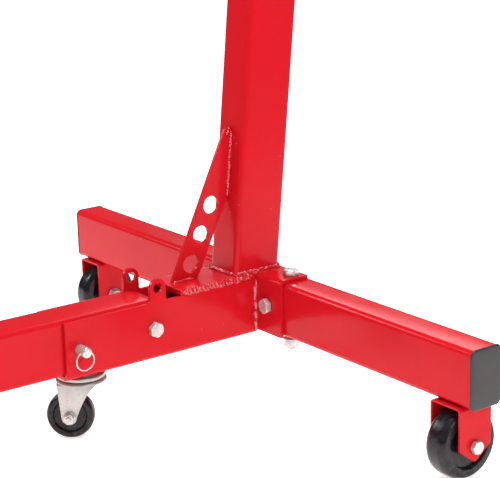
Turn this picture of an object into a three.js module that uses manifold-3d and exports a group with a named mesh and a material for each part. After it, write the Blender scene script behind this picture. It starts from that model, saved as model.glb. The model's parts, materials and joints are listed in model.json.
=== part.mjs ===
// Folding engine hoist crane: a wheeled base with a folding leg, a leaning mast, and a telescopic
// boom lifted by a hand-pumped ram. Millimetres; +X runs forward along the leg, +Y is the left-hand
// side, +Z is up. Inside the model z = 0 is the underside of the crossbars; the finished group is
// moved so that its origin is on the floor, at the middle of the whole crane's box.

import * as THREE from 'three';
import { mergeVertices } from 'three/addons/utils/BufferGeometryUtils.js';
import Module from 'manifold-3d';

const wasm = await Module();
wasm.setup();

// ---------------------------------------------------------------- driving dimensions

const FIT = 0.3; // gap left between pieces that touch
const RUNNING = 0.5; // gap left each side of pieces that slide or turn
const HOLE_PLAY = 1; // how much wider a bolt hole is than its bolt
const ROUND = 12; // sides of a small round piece
const BROAD = 20; // sides of a larger one
const WHEEL_STEPS = 22; // sides of a wheel
const BARREL_STEPS = 28; // sides of the ram's barrel
const CORNER_STEPS = 4; // steps in each rounded corner

const BAR = { height: 76, depth: 50, wall: 3, corner: 8 };
// nutDrop: how far below the bar the washers and nuts of the upright bolts hang
const REAR = { length: 900, saddleHalf: 90, boltSpread: 74, sideBoltSpread: 60, nutDrop: 9 };
const FRONT = { length: 620, saddleHalf: 75, boltSpread: 56, casterInset: 40, nutDrop: 0 };
const CAP = { face: 3, proud: 0.8, plug: 14, plugWall: 2.5 };
const SADDLE = { plate: 5, bend: 8, depth: 43, boltBack: 26, sideBoltZ: 40 };

const CHANNEL = { width: 70.5, wall: 5, corner: 7, length: 305.4, drop: 5.7 };
const EAR = { x: 167, above: 19, radius: 12.5, hole: 15, root: 4 };
const DECK = { plate: 8, length: 124.7 };

const LEG = { top: 76, wall: 4, corner: 6, tip: 894, noseBack: 3 };
const PIVOT = { x: 174.5, z: 37 };
const LOCK_PIN = { x: 290.5, z: 34.7, diameter: 14, showing: 20, farEnd: 3, play: 1.5, chamfer: 1.2 };
const RING = { radius: 13, wire: 2, holeInset: 7, hole: 5 };

const MAST = { depth: 77, width: 60, wall: 3.2, corner: 8, length: 1362, footX: -1.8, lean: 6 };
const GUSSET = { plate: 5, footFrom: 80, footTo: 123, weldFrom: 106, weldTo: 200, top: 11 };
const GUSSET_HOLES = { count: 3, diameter: 25, first: 33.3, pitch: 42.7, inset: 19.9 };

const REAR_WHEEL = { radius: 46.5, width: 35, crown: 6, hub: 28, hubWidth: 45, bore: 11, rim: 63 };
REAR_WHEEL.recess = 6;
const WHEEL_GAP = 8; // a rear wheel's tread to the crossbar above it
// shoulder and point: how far below the axle the bracket's sides narrow and end
const BRACKET = { plate: 3, length: 53, shoulder: 0.5, point: 19.5, bend: 5, inset: 38, x: -22.5 };

const CASTER_WHEEL = { radius: 32, width: 23, crown: 4, hub: 20, hubWidth: 27, bore: 9, rim: 44 };
CASTER_WHEEL.recess = 4;
const CASTER = { trail: 16, ring: 32, ringPlate: 5, seat: 24, kingpin: 10, rivet: 17 };
CASTER.seatHeight = 10; // the least height of the seat above the raceway ring
const FORK = { crown: 34, plate: 2.5, back: 32, front: 23, end: 10.5, corner: 3 };
FORK.overWheel = 18; // the tread to the underside of the crown
FORK.raceway = 1.5; // the crown to the ring above it
const CENTRE_CASTER_X = 270;
const HEADINGS = { centre: -40, front_left: -150, front_right: -165 };

const CHEEK = { plate: 6, below: 85, width: 64, radius: 31 };
const MAST_TO_PIVOT = 55; // mast top to the boom's pivot, along the mast

const BOOM = { height: 70, wall: 4, corner: 7, back: 28, length: 640, rest: 0 };
const INNER_BOOM = { wall: 3.5, corner: 5, from: 240, to: 790, hookInset: 25 };
const CLAMP = { x: 600, boss: 28, bossHeight: 12, reach: 55, bar: 80, barDiameter: 10 };

const ARM = 560; // boom pivot to each end of the ram
const RAM_OFFSET = { foot: 45, head: 31 }; // pin to the mast's face, pin to the boom's underside
const RAM = { barrel: 76, gland: 56, glandHeight: 12, top: 485, rod: 30, rodBelow: 482, boreFrom: 47 };
const RAM_NECK = { diameter: 68, below: 8, above: 18 }; // the barrel's narrower ends
const LUG_GAP = 2; // side play of the ram's eyes in their brackets
const RAM_BASE = { half: 34, halfWidth: 36, from: 22, to: 85, lug: 24, eye: 18, boreGap: 0.4 };
const RAM_BRACKET = { plate: 6, eye: 18, spread: 60, headLength: 84 };
const ROD_EYE = { radius: 18, width: 28 };

const PUMP = { y: 58, half: 22, top: 66, barrel: 28, barrelTop: 92, plunger: 10, plungerFrom: 40 };
const LEVER = { x: -28, z: 112, arm: 28, restAngle: -20, plate: 5, pin: 8, crossPin: 7, inset: 1.2 };
const LEVER_LUG = { width: 10, radius: 7 };
const PLUNGER_HEAD = { half: 9.5, rise: 8, slotPlay: 0.6, slotHalf: 6 };
const SOCKET = { angle: 50, from: 30, length: 80, diameter: 32, bore: 24 };
const HANDLE = { diameter: 22, bore: 17, length: 430, seat: 6 };
const VALVE = { z: 45, shaft: 10, depth: 16, reach: 26, bar: 46, barDiameter: 8 };

const CLEVIS = { plate: 6, width: 30, top: 15, inside: 74, bend: 6 };
const HOOK = { bar: 18, shank: 16, nutAcross: 24, nutHeight: 13 };
const HOOK_LATCH = { x: -5, z: -27, angle: -47, from: 13, to: 36, sheet: 1.6, pin: 4, eye: 6 };

const M16 = { diameter: 16, across: 24, head: 10, nut: 13, washer: 30, washerPlate: 3 };
const M10 = { diameter: 10, across: 16, head: 6.4, nut: 8, washer: 20, washerPlate: 2 };
const M12 = { diameter: 12, across: 19, head: 7.5, nut: 10, washer: 24, washerPlate: 2.5 };
const M8 = { diameter: 8, across: 13, head: 5.3, nut: 6.5, washer: 16, washerPlate: 1.6 };
const BOLT_TAIL = 3; // thread showing past a nut

// ---------------------------------------------------------------- sizes that follow

const DEG = Math.PI / 180;
const FACE = SADDLE.plate + FIT; // the saddle's outer face, from the crossbar's
const SEAT = BAR.height + FIT + SADDLE.plate; // top of the saddle plate
const WALL_TOP = SEAT - DECK.plate - FIT; // top of the channel's sides, so that deck meets saddle
const EAR_Z = WALL_TOP + EAR.above;
const CROWN_TOP = 2 * CASTER_WHEEL.radius + FORK.overWheel + FORK.plate;
const RING_BOTTOM = CROWN_TOP + FORK.raceway;
const RING_TOP = RING_BOTTOM + CASTER.ringPlate;
const RIDE = Math.max(2 * REAR_WHEEL.radius + WHEEL_GAP, RING_TOP + CASTER.seatHeight);
const LEG_WIDTH = CHANNEL.width - 2 * (CHANNEL.wall + RUNNING);
const BOOM_WIDTH = MAST.width; // both stand between the cheeks
const MAST_SLOPE = Math.tan(MAST.lean * DEG);
const MAST_FOOT_Z = SEAT + FIT;
const PIVOT_U = MAST.length + MAST_TO_PIVOT;
const CHANNEL_FROM = FACE + FIT;
const CHANNEL_TO = CHANNEL_FROM + CHANNEL.length;
const CHANNEL_FLOOR = CHANNEL.wall - CHANNEL.drop;
const LEG_BOTTOM = CHANNEL_FLOOR + RUNNING;
const INNER_HEIGHT = BOOM.height - 2 * BOOM.wall - 2 * RUNNING;
const INNER_WIDTH = BOOM_WIDTH - 2 * BOOM.wall - 2 * RUNNING;
const HOOK_X = INNER_BOOM.to - INNER_BOOM.hookInset;

const mastPoint = (x, along) => new THREE.Vector3(
  MAST.footX + x * Math.cos(MAST.lean * DEG) - along * Math.sin(MAST.lean * DEG),
  0,
  MAST_FOOT_Z + x * Math.sin(MAST.lean * DEG) + along * Math.cos(MAST.lean * DEG),
);
const mastFaceX = (z) => {
  const faceFoot = MAST.footX + MAST.depth / 2 / Math.cos(MAST.lean * DEG);
  return faceFoot - (z - MAST_FOOT_Z) * MAST_SLOPE;
};
const FOOT_PIN_X = MAST.depth / 2 + RAM_OFFSET.foot;
const FOOT_PIN_U = PIVOT_U - Math.sqrt(ARM ** 2 - FOOT_PIN_X ** 2);
const HEAD_PIN_Z = -BOOM.height / 2 - RAM_OFFSET.head;
const HEAD_PIN_X = Math.sqrt(ARM ** 2 - HEAD_PIN_Z ** 2);
const BOOM_PIVOT = mastPoint(0, PIVOT_U);
const FOOT_PIN = mastPoint(FOOT_PIN_X, FOOT_PIN_U);
const HEAD_PIN = new THREE.Vector3(HEAD_PIN_X, 0, HEAD_PIN_Z)
  .applyAxisAngle(new THREE.Vector3(0, 1, 0), -BOOM.rest * DEG)
  .add(BOOM_PIVOT);
const RAM_LENGTH = HEAD_PIN.distanceTo(FOOT_PIN);
const RAM_TILT = Math.atan2(HEAD_PIN.x - FOOT_PIN.x, HEAD_PIN.z - FOOT_PIN.z);

// ---------------------------------------------------------------- finishes

const FINISH = {
  red: { color: 0xd8232a, roughness: 0.3, metalness: 0 },
  plastic: { color: 0x4c4a4a, roughness: 0.55, metalness: 0 },
  tyre: { color: 0x17171a, roughness: 0.35, metalness: 0 },
  zinc: { color: 0xd4d4d2, roughness: 0.35, metalness: 0.9 },
  chrome: { color: 0xe6e6e6, roughness: 0.12, metalness: 1 },
  black: { color: 0x202022, roughness: 0.4, metalness: 0.2 },
};

// ---------------------------------------------------------------- solids

function solidOf(geometry) {
  const bare = geometry.clone();
  bare.deleteAttribute('normal');
  bare.deleteAttribute('uv');
  const merged = mergeVertices(bare, 1e-4);
  return new wasm.Manifold(new wasm.Mesh({
    numProp: 3,
    vertProperties: new Float32Array(merged.attributes.position.array),
    triVerts: new Uint32Array(merged.index.array),
  }));
}

function piece(name, solid, finish) {
  const { vertProperties, triVerts } = solid.getMesh();
  const geometry = new THREE.BufferGeometry();
  geometry.setAttribute('position', new THREE.BufferAttribute(vertProperties, 3));
  geometry.setIndex(new THREE.BufferAttribute(triVerts, 1));
  geometry.computeVertexNormals();
  const mesh = new THREE.Mesh(geometry, new THREE.MeshStandardMaterial(FINISH[finish]));
  mesh.name = name;
  return mesh;
}

const join = (first, ...rest) => rest.reduce((whole, next) => whole.add(next), first);
const cut = (first, ...rest) => rest.reduce((whole, next) => whole.subtract(next), first);

function block([x0, x1], [y0, y1], [z0, z1]) {
  const geometry = new THREE.BoxGeometry(x1 - x0, y1 - y0, z1 - z0);
  geometry.translate((x0 + x1) / 2, (y0 + y1) / 2, (z0 + z1) / 2);
  return solidOf(geometry);
}

// A cylinder along one axis; `at` is its place on the other two axes, in their order.
function rod(axis, diameter, [from, to], at = [0, 0], sides = ROUND) {
  const geometry = new THREE.CylinderGeometry(diameter / 2, diameter / 2, to - from, sides);
  const middle = (from + to) / 2;
  if (axis === 'x') {
    geometry.rotateZ(-Math.PI / 2).translate(middle, at[0], at[1]);
  } else if (axis === 'z') {
    geometry.rotateX(Math.PI / 2).translate(at[0], at[1], middle);
  } else {
    geometry.translate(at[0], middle, at[1]);
  }
  return solidOf(geometry);
}

const hexagon = (across, span, at) => rod('z', (2 * across) / Math.sqrt(3), span, at, 6);

function outline(points) {
  return new THREE.Shape(points.map(([x, y]) => new THREE.Vector2(x, y)));
}

function roundedRectangle(width, height, radius, path = new THREE.Shape()) {
  const x = width / 2 - radius;
  const y = height / 2 - radius;
  path.moveTo(x + radius, -y);
  path.absarc(x, y, radius, 0, Math.PI / 2);
  path.absarc(-x, y, radius, Math.PI / 2, Math.PI);
  path.absarc(-x, -y, radius, Math.PI, 1.5 * Math.PI);
  path.absarc(x, -y, radius, 1.5 * Math.PI, 2 * Math.PI);
  return path;
}

function tubeShape(width, height, wall, corner) {
  const shape = roundedRectangle(width, height, corner);
  const inner = Math.max(corner - wall, 1);
  shape.holes.push(roundedRectangle(width - 2 * wall, height - 2 * wall, inner, new THREE.Path()));
  return shape;
}

// An open channel: its web at y = 0, its two sides running up to y = height.
function channelShape(width, height, wall, bend) {
  const half = width / 2;
  const inner = Math.max(bend - wall, 0.5);
  const shape = new THREE.Shape();
  shape.moveTo(-half, height);
  shape.lineTo(-half, bend);
  shape.absarc(-half + bend, bend, bend, Math.PI, 1.5 * Math.PI);
  shape.lineTo(half - bend, 0);
  shape.absarc(half - bend, bend, bend, 1.5 * Math.PI, 2 * Math.PI);
  shape.lineTo(half, height);
  shape.lineTo(half - wall, height);
  shape.lineTo(half - wall, wall + inner);
  shape.absarc(half - wall - inner, wall + inner, inner, 0, -Math.PI / 2, true);
  shape.lineTo(-half + wall + inner, wall);
  shape.absarc(-half + wall + inner, wall + inner, inner, -Math.PI / 2, -Math.PI, true);
  shape.lineTo(-half + wall, height);
  return shape;
}

function extruded(shape, depth, steps = CORNER_STEPS) {
  return new THREE.ExtrudeGeometry(shape, { depth, bevelEnabled: false, curveSegments: steps });
}

// A shape drawn in (x, z) and carried along Y, or drawn in (y, z) and carried along X.
function alongY(shape, [from, to], steps) {
  return solidOf(extruded(shape, to - from, steps).rotateX(Math.PI / 2).translate(0, to, 0));
}

function alongX(shape, [from, to], steps) {
  const axes = new THREE.Matrix4().makeBasis(
    new THREE.Vector3(0, 1, 0),
    new THREE.Vector3(0, 0, 1),
    new THREE.Vector3(1, 0, 0),
  );
  return solidOf(extruded(shape, to - from, steps).applyMatrix4(axes).translate(from, 0, 0));
}

// The convex outline round two or more discs, each [x, y, radius].
function stadium(...discs) {
  const points = [];
  for (const [x, y, radius] of discs) {
    for (let i = 0; i < ROUND; i += 1) {
      const turn = (2 * Math.PI * i) / ROUND;
      points.push([x + radius * Math.cos(turn), y + radius * Math.sin(turn)]);
    }
  }
  return outline(convexHull(points));
}

function convexHull(points) {
  const sorted = [...points].sort((a, b) => a[0] - b[0] || a[1] - b[1]);
  const turnOf = (a, b, c) => (b[0] - a[0]) * (c[1] - a[1]) - (b[1] - a[1]) * (c[0] - a[0]);
  const halfHull = (list) => {
    const chain = [];
    for (const point of list) {
      while (chain.length > 1 && turnOf(chain.at(-2), chain.at(-1), point) <= 1e-6) {
        chain.pop();
      }
      chain.push(point);
    }
    return chain.slice(0, -1);
  };
  return [...halfHull(sorted), ...halfHull(sorted.reverse())];
}

// A bolt along Z with its head above z = 0 and its washer and nut below z = -grip, as one solid.
function boltSolid(size, grip) {
  const washerTop = -grip - FIT;
  const nutTop = washerTop - size.washerPlate;
  const end = nutTop - size.nut - BOLT_TAIL;
  return join(
    hexagon(size.across, [FIT, FIT + size.head]),
    rod('z', size.diameter, [end, FIT + size.head / 2]),
    rod('z', size.washer, [nutTop, washerTop]),
    hexagon(size.across, [nutTop - size.nut, nutTop]),
  );
}

function bolt(name, size, grip, position, rotation) {
  const mesh = piece(name, boltSolid(size, grip), 'zinc');
  mesh.position.set(...position);
  mesh.rotation.set(...rotation);
  return mesh;
}

const HEAD_LEFT = [-Math.PI / 2, 0, 0]; // head towards +Y
const HEAD_RIGHT = [Math.PI / 2, 0, 0]; // head towards -Y
const HEAD_FORWARD = [0, Math.PI / 2, 0]; // head towards +X
const HEAD_UP = [0, 0, 0];
const holeFor = (size) => size.diameter + HOLE_PLAY;

// A wheel turned about Y: crowned tread, recessed sides, raised hub and a plain bore.
function wheelSolid({ radius, width, crown, hub, hubWidth, bore, rim, recess }) {
  const side = [
    [bore / 2, hubWidth / 2],
    [hub / 2, hubWidth / 2],
    [hub / 2 + 1, width / 2 - recess],
    [rim / 2, width / 2 - recess],
    [rim / 2 + 2, width / 2],
  ];
  const tread = [];
  const steps = 4;
  for (let i = 0; i <= steps; i += 1) {
    const across = 1 - (2 * i) / steps;
    tread.push([radius - crown * Math.abs(across) ** 4, (across * width) / 2]);
  }
  const far = side.map(([r, y]) => [r, -y]).reverse();
  const loop = [...side, ...tread, ...far, side[0]].reverse();
  const profile = loop.map(([r, y]) => new THREE.Vector2(r, y));
  return solidOf(new THREE.LatheGeometry(profile, WHEEL_STEPS));
}

// ---------------------------------------------------------------- crossbar, caps and saddle

// One crossbar with the saddle that bolts over it. The bar's inner face is at x = 0 and the bar
// lies behind it; `side` is +1 where the bar's +Y end is the crane's left.
function crossbarSet(names, spec, side) {
  const group = new THREE.Group();
  const half = spec.length / 2;
  const middle = [-BAR.depth / 2, BAR.height / 2];
  const boltX = -SADDLE.boltBack;
  const tall = [-1, SEAT + 1];
  const deep = [-BAR.depth - 1, FACE + 1];
  const holes = [];
  for (const y of [-spec.boltSpread, spec.boltSpread]) {
    holes.push(rod('z', holeFor(M12), tall, [boltX, y]));
  }
  if (spec.sideBoltSpread) {
    for (const y of [-spec.sideBoltSpread, spec.sideBoltSpread]) {
      holes.push(rod('x', holeFor(M12), deep, [y, SADDLE.sideBoltZ]));
    }
  }

  const section = tubeShape(BAR.depth, BAR.height, BAR.wall, BAR.corner);
  const bar = alongY(section, [-half, half]).translate([middle[0], 0, middle[1]]);
  group.add(piece(names.bar, cut(bar, ...holes), 'red'));

  const bend = SADDLE.bend;
  const inner = bend - SADDLE.plate;
  const sheet = new THREE.Shape();
  sheet.moveTo(FIT, 0);
  sheet.lineTo(FACE, 0);
  sheet.lineTo(FACE, SEAT - bend);
  sheet.absarc(FACE - bend, SEAT - bend, bend, 0, Math.PI / 2);
  sheet.lineTo(-SADDLE.depth, SEAT);
  sheet.lineTo(-SADDLE.depth, SEAT - SADDLE.plate);
  sheet.lineTo(FIT - inner, SEAT - SADDLE.plate);
  sheet.absarc(FIT - inner, SEAT - bend, inner, Math.PI / 2, 0, true);
  const saddle = alongY(sheet, [-spec.saddleHalf, spec.saddleHalf]);
  group.add(piece(names.saddle, cut(saddle, ...holes), 'red'));

  const capDepth = BAR.depth + 2 * CAP.proud;
  const capHeight = BAR.height + 2 * CAP.proud;
  const plugDepth = BAR.depth - 2 * BAR.wall - 2 * FIT;
  const plugHeight = BAR.height - 2 * BAR.wall - 2 * FIT;
  const plugCorner = BAR.corner - BAR.wall;
  const face = roundedRectangle(capDepth, capHeight, BAR.corner + CAP.proud);
  const plug = tubeShape(plugDepth, plugHeight, CAP.plugWall, plugCorner);
  for (const [label, sign] of [['left', side], ['right', -side]]) {
    const cap = join(
      alongY(face, [FIT, FIT + CAP.face]),
      alongY(plug, [-CAP.plug, FIT + CAP.face / 2]),
    );
    const mesh = piece(`${names.cap}_${label}`, cap, 'plastic');
    mesh.position.set(middle[0], sign * half, middle[1]);
    mesh.rotation.z = sign > 0 ? 0 : Math.PI;
    group.add(mesh);

    const spread = sign * spec.boltSpread;
    const grip = SEAT + spec.nutDrop;
    group.add(bolt(`${names.bolt}_top_${label}`, M12, grip, [boltX, spread, SEAT], HEAD_UP));
    if (spec.sideBoltSpread) {
      const place = [FACE, sign * spec.sideBoltSpread, SADDLE.sideBoltZ];
      group.add(bolt(`${names.bolt}_side_${label}`, M12, FACE + BAR.depth, place, HEAD_FORWARD));
    }
  }
  return group;
}

// ---------------------------------------------------------------- rear wheels

function rearWheels() {
  const group = new THREE.Group();
  const { plate, length, bend } = BRACKET;
  const axleDrop = RIDE - REAR_WHEEL.radius;
  const shoulder = axleDrop + BRACKET.shoulder;
  const point = axleDrop + BRACKET.point;
  const width = REAR_WHEEL.hubWidth + 2 * RUNNING + 2 * plate;
  const grip = width;
  const wide = [-width, width];
  const sides = outline([
    [-length / 2, -FIT], [-length / 2, -shoulder], [-4, -point + 1.5], [0, -point],
    [4, -point + 1.5], [length / 2, -shoulder], [length / 2, -FIT],
  ]);
  const fold = alongX(channelShape(width, point + 1, plate, bend), [-length / 2, length / 2])
    .rotate([180, 0, 0])
    .translate([0, 0, -FIT]);
  const bracket = cut(
    fold.intersect(alongY(sides, wide)),
    rod('y', holeFor(M10), wide, [0, -axleDrop]),
  );
  for (const [label, sign] of [['left', 1], ['right', -1]]) {
    const y = sign * (REAR.length / 2 - BRACKET.inset);
    const mesh = piece(`wheel_bracket_${label}`, bracket, 'red');
    mesh.position.set(BRACKET.x, y, 0);
    const wheel = piece(`rear_wheel_${label}`, wheelSolid(REAR_WHEEL), 'tyre');
    wheel.position.set(BRACKET.x, y, -axleDrop);
    const place = [BRACKET.x, y + (sign * width) / 2, -axleDrop];
    const turn = sign > 0 ? HEAD_LEFT : HEAD_RIGHT;
    group.add(mesh, wheel, bolt(`wheel_axle_${label}`, M10, grip, place, turn));
  }
  return group;
}

// ---------------------------------------------------------------- swivel casters

// A swivel caster about Z with the floor at z = 0; the mount reaches up to `height`.
function caster(name, height, heading) {
  const group = new THREE.Group();
  const axle = CASTER_WHEEL.radius;
  const inside = CASTER_WHEEL.hubWidth + 2 * RUNNING;
  const outside = inside + 2 * FORK.plate;
  const crownBottom = CROWN_TOP - FORK.plate;
  const rivet = [crownBottom - FIT - 4, crownBottom - FIT];

  const mount = join(
    rod('z', 2 * CASTER.ring, [RING_BOTTOM, RING_TOP], [0, 0], BROAD),
    rod('z', 2 * CASTER.seat, [RING_TOP - 1, height - FIT], [0, 0], BROAD),
    rod('z', CASTER.kingpin, [rivet[0] + 1, RING_TOP]),
    rod('z', CASTER.rivet, rivet),
  );
  group.add(piece(`${name}_mount`, mount, 'zinc'));

  const side = stadium(
    [-FORK.back + FORK.corner, CROWN_TOP - FORK.corner, FORK.corner],
    [FORK.front - FORK.corner, CROWN_TOP - FORK.corner, FORK.corner],
    [-CASTER.trail, axle, FORK.end],
  );
  const legs = [[inside / 2, outside / 2], [-outside / 2, -inside / 2]];
  const fork = cut(
    join(
      rod('z', 2 * FORK.crown, [crownBottom, CROWN_TOP], [0, 0], BROAD),
      ...legs.map((span) => alongY(side, span)),
    ),
    rod('z', CASTER.kingpin + 2 * RUNNING, [crownBottom - 1, CROWN_TOP + 1]),
    rod('y', M8.diameter + HOLE_PLAY, [-outside, outside], [-CASTER.trail, axle]),
  );
  group.add(piece(`${name}_fork`, fork, 'zinc'));

  const place = [-CASTER.trail, outside / 2, axle];
  group.add(bolt(`${name}_axle`, M8, outside, place, HEAD_LEFT));
  const wheel = piece(`${name}_wheel`, wheelSolid(CASTER_WHEEL), 'tyre');
  wheel.position.set(-CASTER.trail, 0, axle);
  group.add(wheel);
  group.rotation.z = (heading + 180) * DEG;
  return group;
}

// ---------------------------------------------------------------- channel, deck and lock pin

function legChannel() {
  const group = new THREE.Group();
  const half = CHANNEL.width / 2;
  const across = [-half - 1, half + 1];
  const height = WALL_TOP + CHANNEL.drop;
  const section = channelShape(CHANNEL.width, height, CHANNEL.wall, CHANNEL.corner);
  const trough = alongX(section, [CHANNEL_FROM, CHANNEL_TO]).translate([0, 0, -CHANNEL.drop]);

  const { x, radius, root } = EAR;
  const ear = new THREE.Shape();
  ear.moveTo(x - radius - root, WALL_TOP - radius);
  ear.lineTo(x + radius + root, WALL_TOP - radius);
  ear.lineTo(x + radius + root, WALL_TOP);
  ear.absarc(x + radius + root, WALL_TOP + root, root, 1.5 * Math.PI, Math.PI, true);
  ear.absarc(x, EAR_Z, radius, 0, Math.PI);
  ear.absarc(x - radius - root, WALL_TOP + root, root, 0, -Math.PI / 2, true);
  const inner = half - CHANNEL.wall;
  const ears = [[inner, half], [-half, -inner]].map((span) => alongY(ear, span, 6));
  const channel = cut(
    join(trough, ...ears),
    rod('y', EAR.hole, across, [x, EAR_Z]),
    rod('y', holeFor(M12), across, [PIVOT.x, PIVOT.z]),
    rod('y', LOCK_PIN.diameter + HOLE_PLAY, across, [LOCK_PIN.x, LOCK_PIN.z]),
  );
  group.add(piece('leg_channel', channel, 'red'));

  const deckBottom = WALL_TOP + FIT;
  const deck = block(
    [CHANNEL_FROM, CHANNEL_FROM + DECK.length],
    [-half, half],
    [deckBottom, deckBottom + DECK.plate],
  );
  group.add(piece('deck_plate', deck, 'red'));
  group.add(bolt('leg_pivot_bolt', M12, CHANNEL.width, [PIVOT.x, half, PIVOT.z], HEAD_LEFT));
  return group;
}

// The lock pin lies along Y; a wire ring hangs from the cross hole near its left-hand end.
function lockPin() {
  const group = new THREE.Group();
  const half = CHANNEL.width / 2;
  const end = half + LOCK_PIN.showing;
  const far = -half - LOCK_PIN.farEnd;
  const radius = LOCK_PIN.diameter / 2;
  const ringY = end - RING.holeInset;
  const profile = [
    [0, far], [radius - LOCK_PIN.chamfer, far], [radius, far + LOCK_PIN.chamfer],
    [radius, end - LOCK_PIN.chamfer], [radius - LOCK_PIN.chamfer, end], [0, end],
  ].map(([r, y]) => new THREE.Vector2(r, y));
  const shaft = solidOf(new THREE.LatheGeometry(profile, ROUND));
  const pin = cut(shaft, rod('x', RING.hole, [-radius - 1, radius + 1], [ringY, 0], 12));
  const pinMesh = piece('lock_pin', pin, 'zinc');
  pinMesh.position.set(LOCK_PIN.x, 0, LOCK_PIN.z);
  group.add(pinMesh);

  // Where the ring crosses the pin it bows: half of that bow is above the hole's axis.
  const bow = RING.radius - Math.sqrt(RING.radius ** 2 - radius ** 2);
  const wire = new THREE.TorusGeometry(RING.radius, RING.wire / 2, 6, 24).rotateX(Math.PI / 2);
  const ring = piece('lock_pin_ring', solidOf(wire), 'zinc');
  ring.position.set(LOCK_PIN.x, ringY, LOCK_PIN.z - RING.radius + bow / 2);
  group.add(ring);
  return group;
}

// ---------------------------------------------------------------- folding leg

function foldingLeg() {
  const group = new THREE.Group();
  const height = LEG.top - LEG_BOTTOM;
  const half = LEG_WIDTH / 2;
  const across = [-half - 1, half + 1];
  const noseRadius = PIVOT.z - LEG_BOTTOM;
  const section = tubeShape(LEG_WIDTH, height, LEG.wall, LEG.corner);
  const tube = alongX(section, [PIVOT.x - noseRadius, LEG.tip])
    .translate([0, 0, LEG_BOTTOM + height / 2]);
  const kept = join(
    block([PIVOT.x + LEG.noseBack, LEG.tip + 1], across, [LEG_BOTTOM - 1, LEG.top + 1]),
    rod('y', 2 * noseRadius, across, [PIVOT.x, PIVOT.z], BROAD),
  );

  // The lock pin stays in the frame while the leg turns, so its hole runs on as an arc slot
  // about the pivot until it leaves through the leg's underside.
  const reach = Math.hypot(LOCK_PIN.x - PIVOT.x, LOCK_PIN.z - PIVOT.z);
  const start = Math.atan2(LOCK_PIN.z - PIVOT.z, LOCK_PIN.x - PIVOT.x);
  const halfSlot = (LOCK_PIN.diameter + LOCK_PIN.play) / 2;
  const leave = -Math.asin((noseRadius + halfSlot) / (reach - halfSlot)) - 0.02;
  const slot = new THREE.Shape();
  slot.absarc(PIVOT.x, PIVOT.z, reach + halfSlot, leave, start);
  slot.absarc(
    PIVOT.x + reach * Math.cos(start), PIVOT.z + reach * Math.sin(start),
    halfSlot, start, start + Math.PI,
  );
  slot.absarc(PIVOT.x, PIVOT.z, reach - halfSlot, start, leave, true);

  // With the leg folded up, a second hole comes level with the ears of the channel.
  const foldReach = Math.hypot(EAR.x - PIVOT.x, EAR_Z - PIVOT.z);
  const foldAngle = Math.atan2(EAR_Z - PIVOT.z, EAR.x - PIVOT.x) - (90 + MAST.lean) * DEG;
  const foldHole = [
    PIVOT.x + foldReach * Math.cos(foldAngle),
    PIVOT.z + foldReach * Math.sin(foldAngle),
  ];
  const leg = cut(
    tube.intersect(kept),
    rod('y', holeFor(M12), across, [PIVOT.x, PIVOT.z]),
    rod('y', LOCK_PIN.diameter + HOLE_PLAY, across, foldHole),
    alongY(slot, across, 6),
  );
  group.add(piece('leg', leg, 'red'));

  const names = { bar: 'front_crossbar', cap: 'front_cap', saddle: 'front_saddle', bolt: 'front_bolt' };
  const end = crossbarSet(names, FRONT, -1);
  end.rotation.z = Math.PI;
  end.position.x = LEG.tip + FIT + FACE;
  group.add(end);

  const casterX = end.position.x + BAR.depth / 2;
  const casterY = FRONT.length / 2 - FRONT.casterInset;
  for (const [label, sign] of [['front_left', 1], ['front_right', -1]]) {
    const unit = caster(`${label}_caster`, RIDE, HEADINGS[label]);
    unit.position.set(casterX, sign * casterY, -RIDE);
    group.add(unit);
  }
  return group;
}

// ---------------------------------------------------------------- mast

function mastAssembly() {
  const group = new THREE.Group();
  const upright = new THREE.Group();
  upright.position.set(MAST.footX, 0, MAST_FOOT_Z);
  upright.rotation.y = -MAST.lean * DEG;

  const spare = MAST.depth * MAST_SLOPE;
  const section = tubeShape(MAST.depth, MAST.width, MAST.wall, MAST.corner);
  const tube = solidOf(extruded(section, MAST.length + spare).translate(0, 0, -spare));
  const underFloor = block([-MAST.depth, MAST.depth], [-MAST.width, MAST.width], [-MAST.depth, 0])
    .rotate([0, MAST.lean, 0]);
  upright.add(piece('mast', cut(tube, underFloor), 'red'));

  const cheekShape = stadium(
    [0, PIVOT_U, CHEEK.radius],
    [CHEEK.width / 2 - 4, MAST.length - CHEEK.below, 4],
    [-CHEEK.width / 2 + 4, MAST.length - CHEEK.below, 4],
  );
  const cheekInside = MAST.width / 2 + FIT;
  const cheekOutside = cheekInside + CHEEK.plate;
  for (const [label, sign] of [['left', 1], ['right', -1]]) {
    const plate = cut(
      alongY(cheekShape, [-CHEEK.plate / 2, CHEEK.plate / 2]),
      rod('y', holeFor(M16), [-CHEEK.plate, CHEEK.plate], [0, PIVOT_U]),
    );
    const mesh = piece(`mast_cheek_${label}`, plate, 'red');
    mesh.position.y = (sign * (cheekInside + cheekOutside)) / 2;
    upright.add(mesh);
  }
  const grip = 2 * cheekOutside;
  upright.add(bolt('boom_pivot_bolt', M16, grip, [0, cheekOutside, PIVOT_U], HEAD_LEFT));
  upright.add(ramFootBracket());
  const footOutside = RAM_BASE.lug / 2 + LUG_GAP + RAM_BRACKET.plate;
  const footPlace = [FOOT_PIN_X, footOutside, FOOT_PIN_U];
  upright.add(bolt('ram_foot_bolt', M16, 2 * footOutside, footPlace, HEAD_LEFT));
  group.add(upright, mastGusset());
  return group;
}

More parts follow.
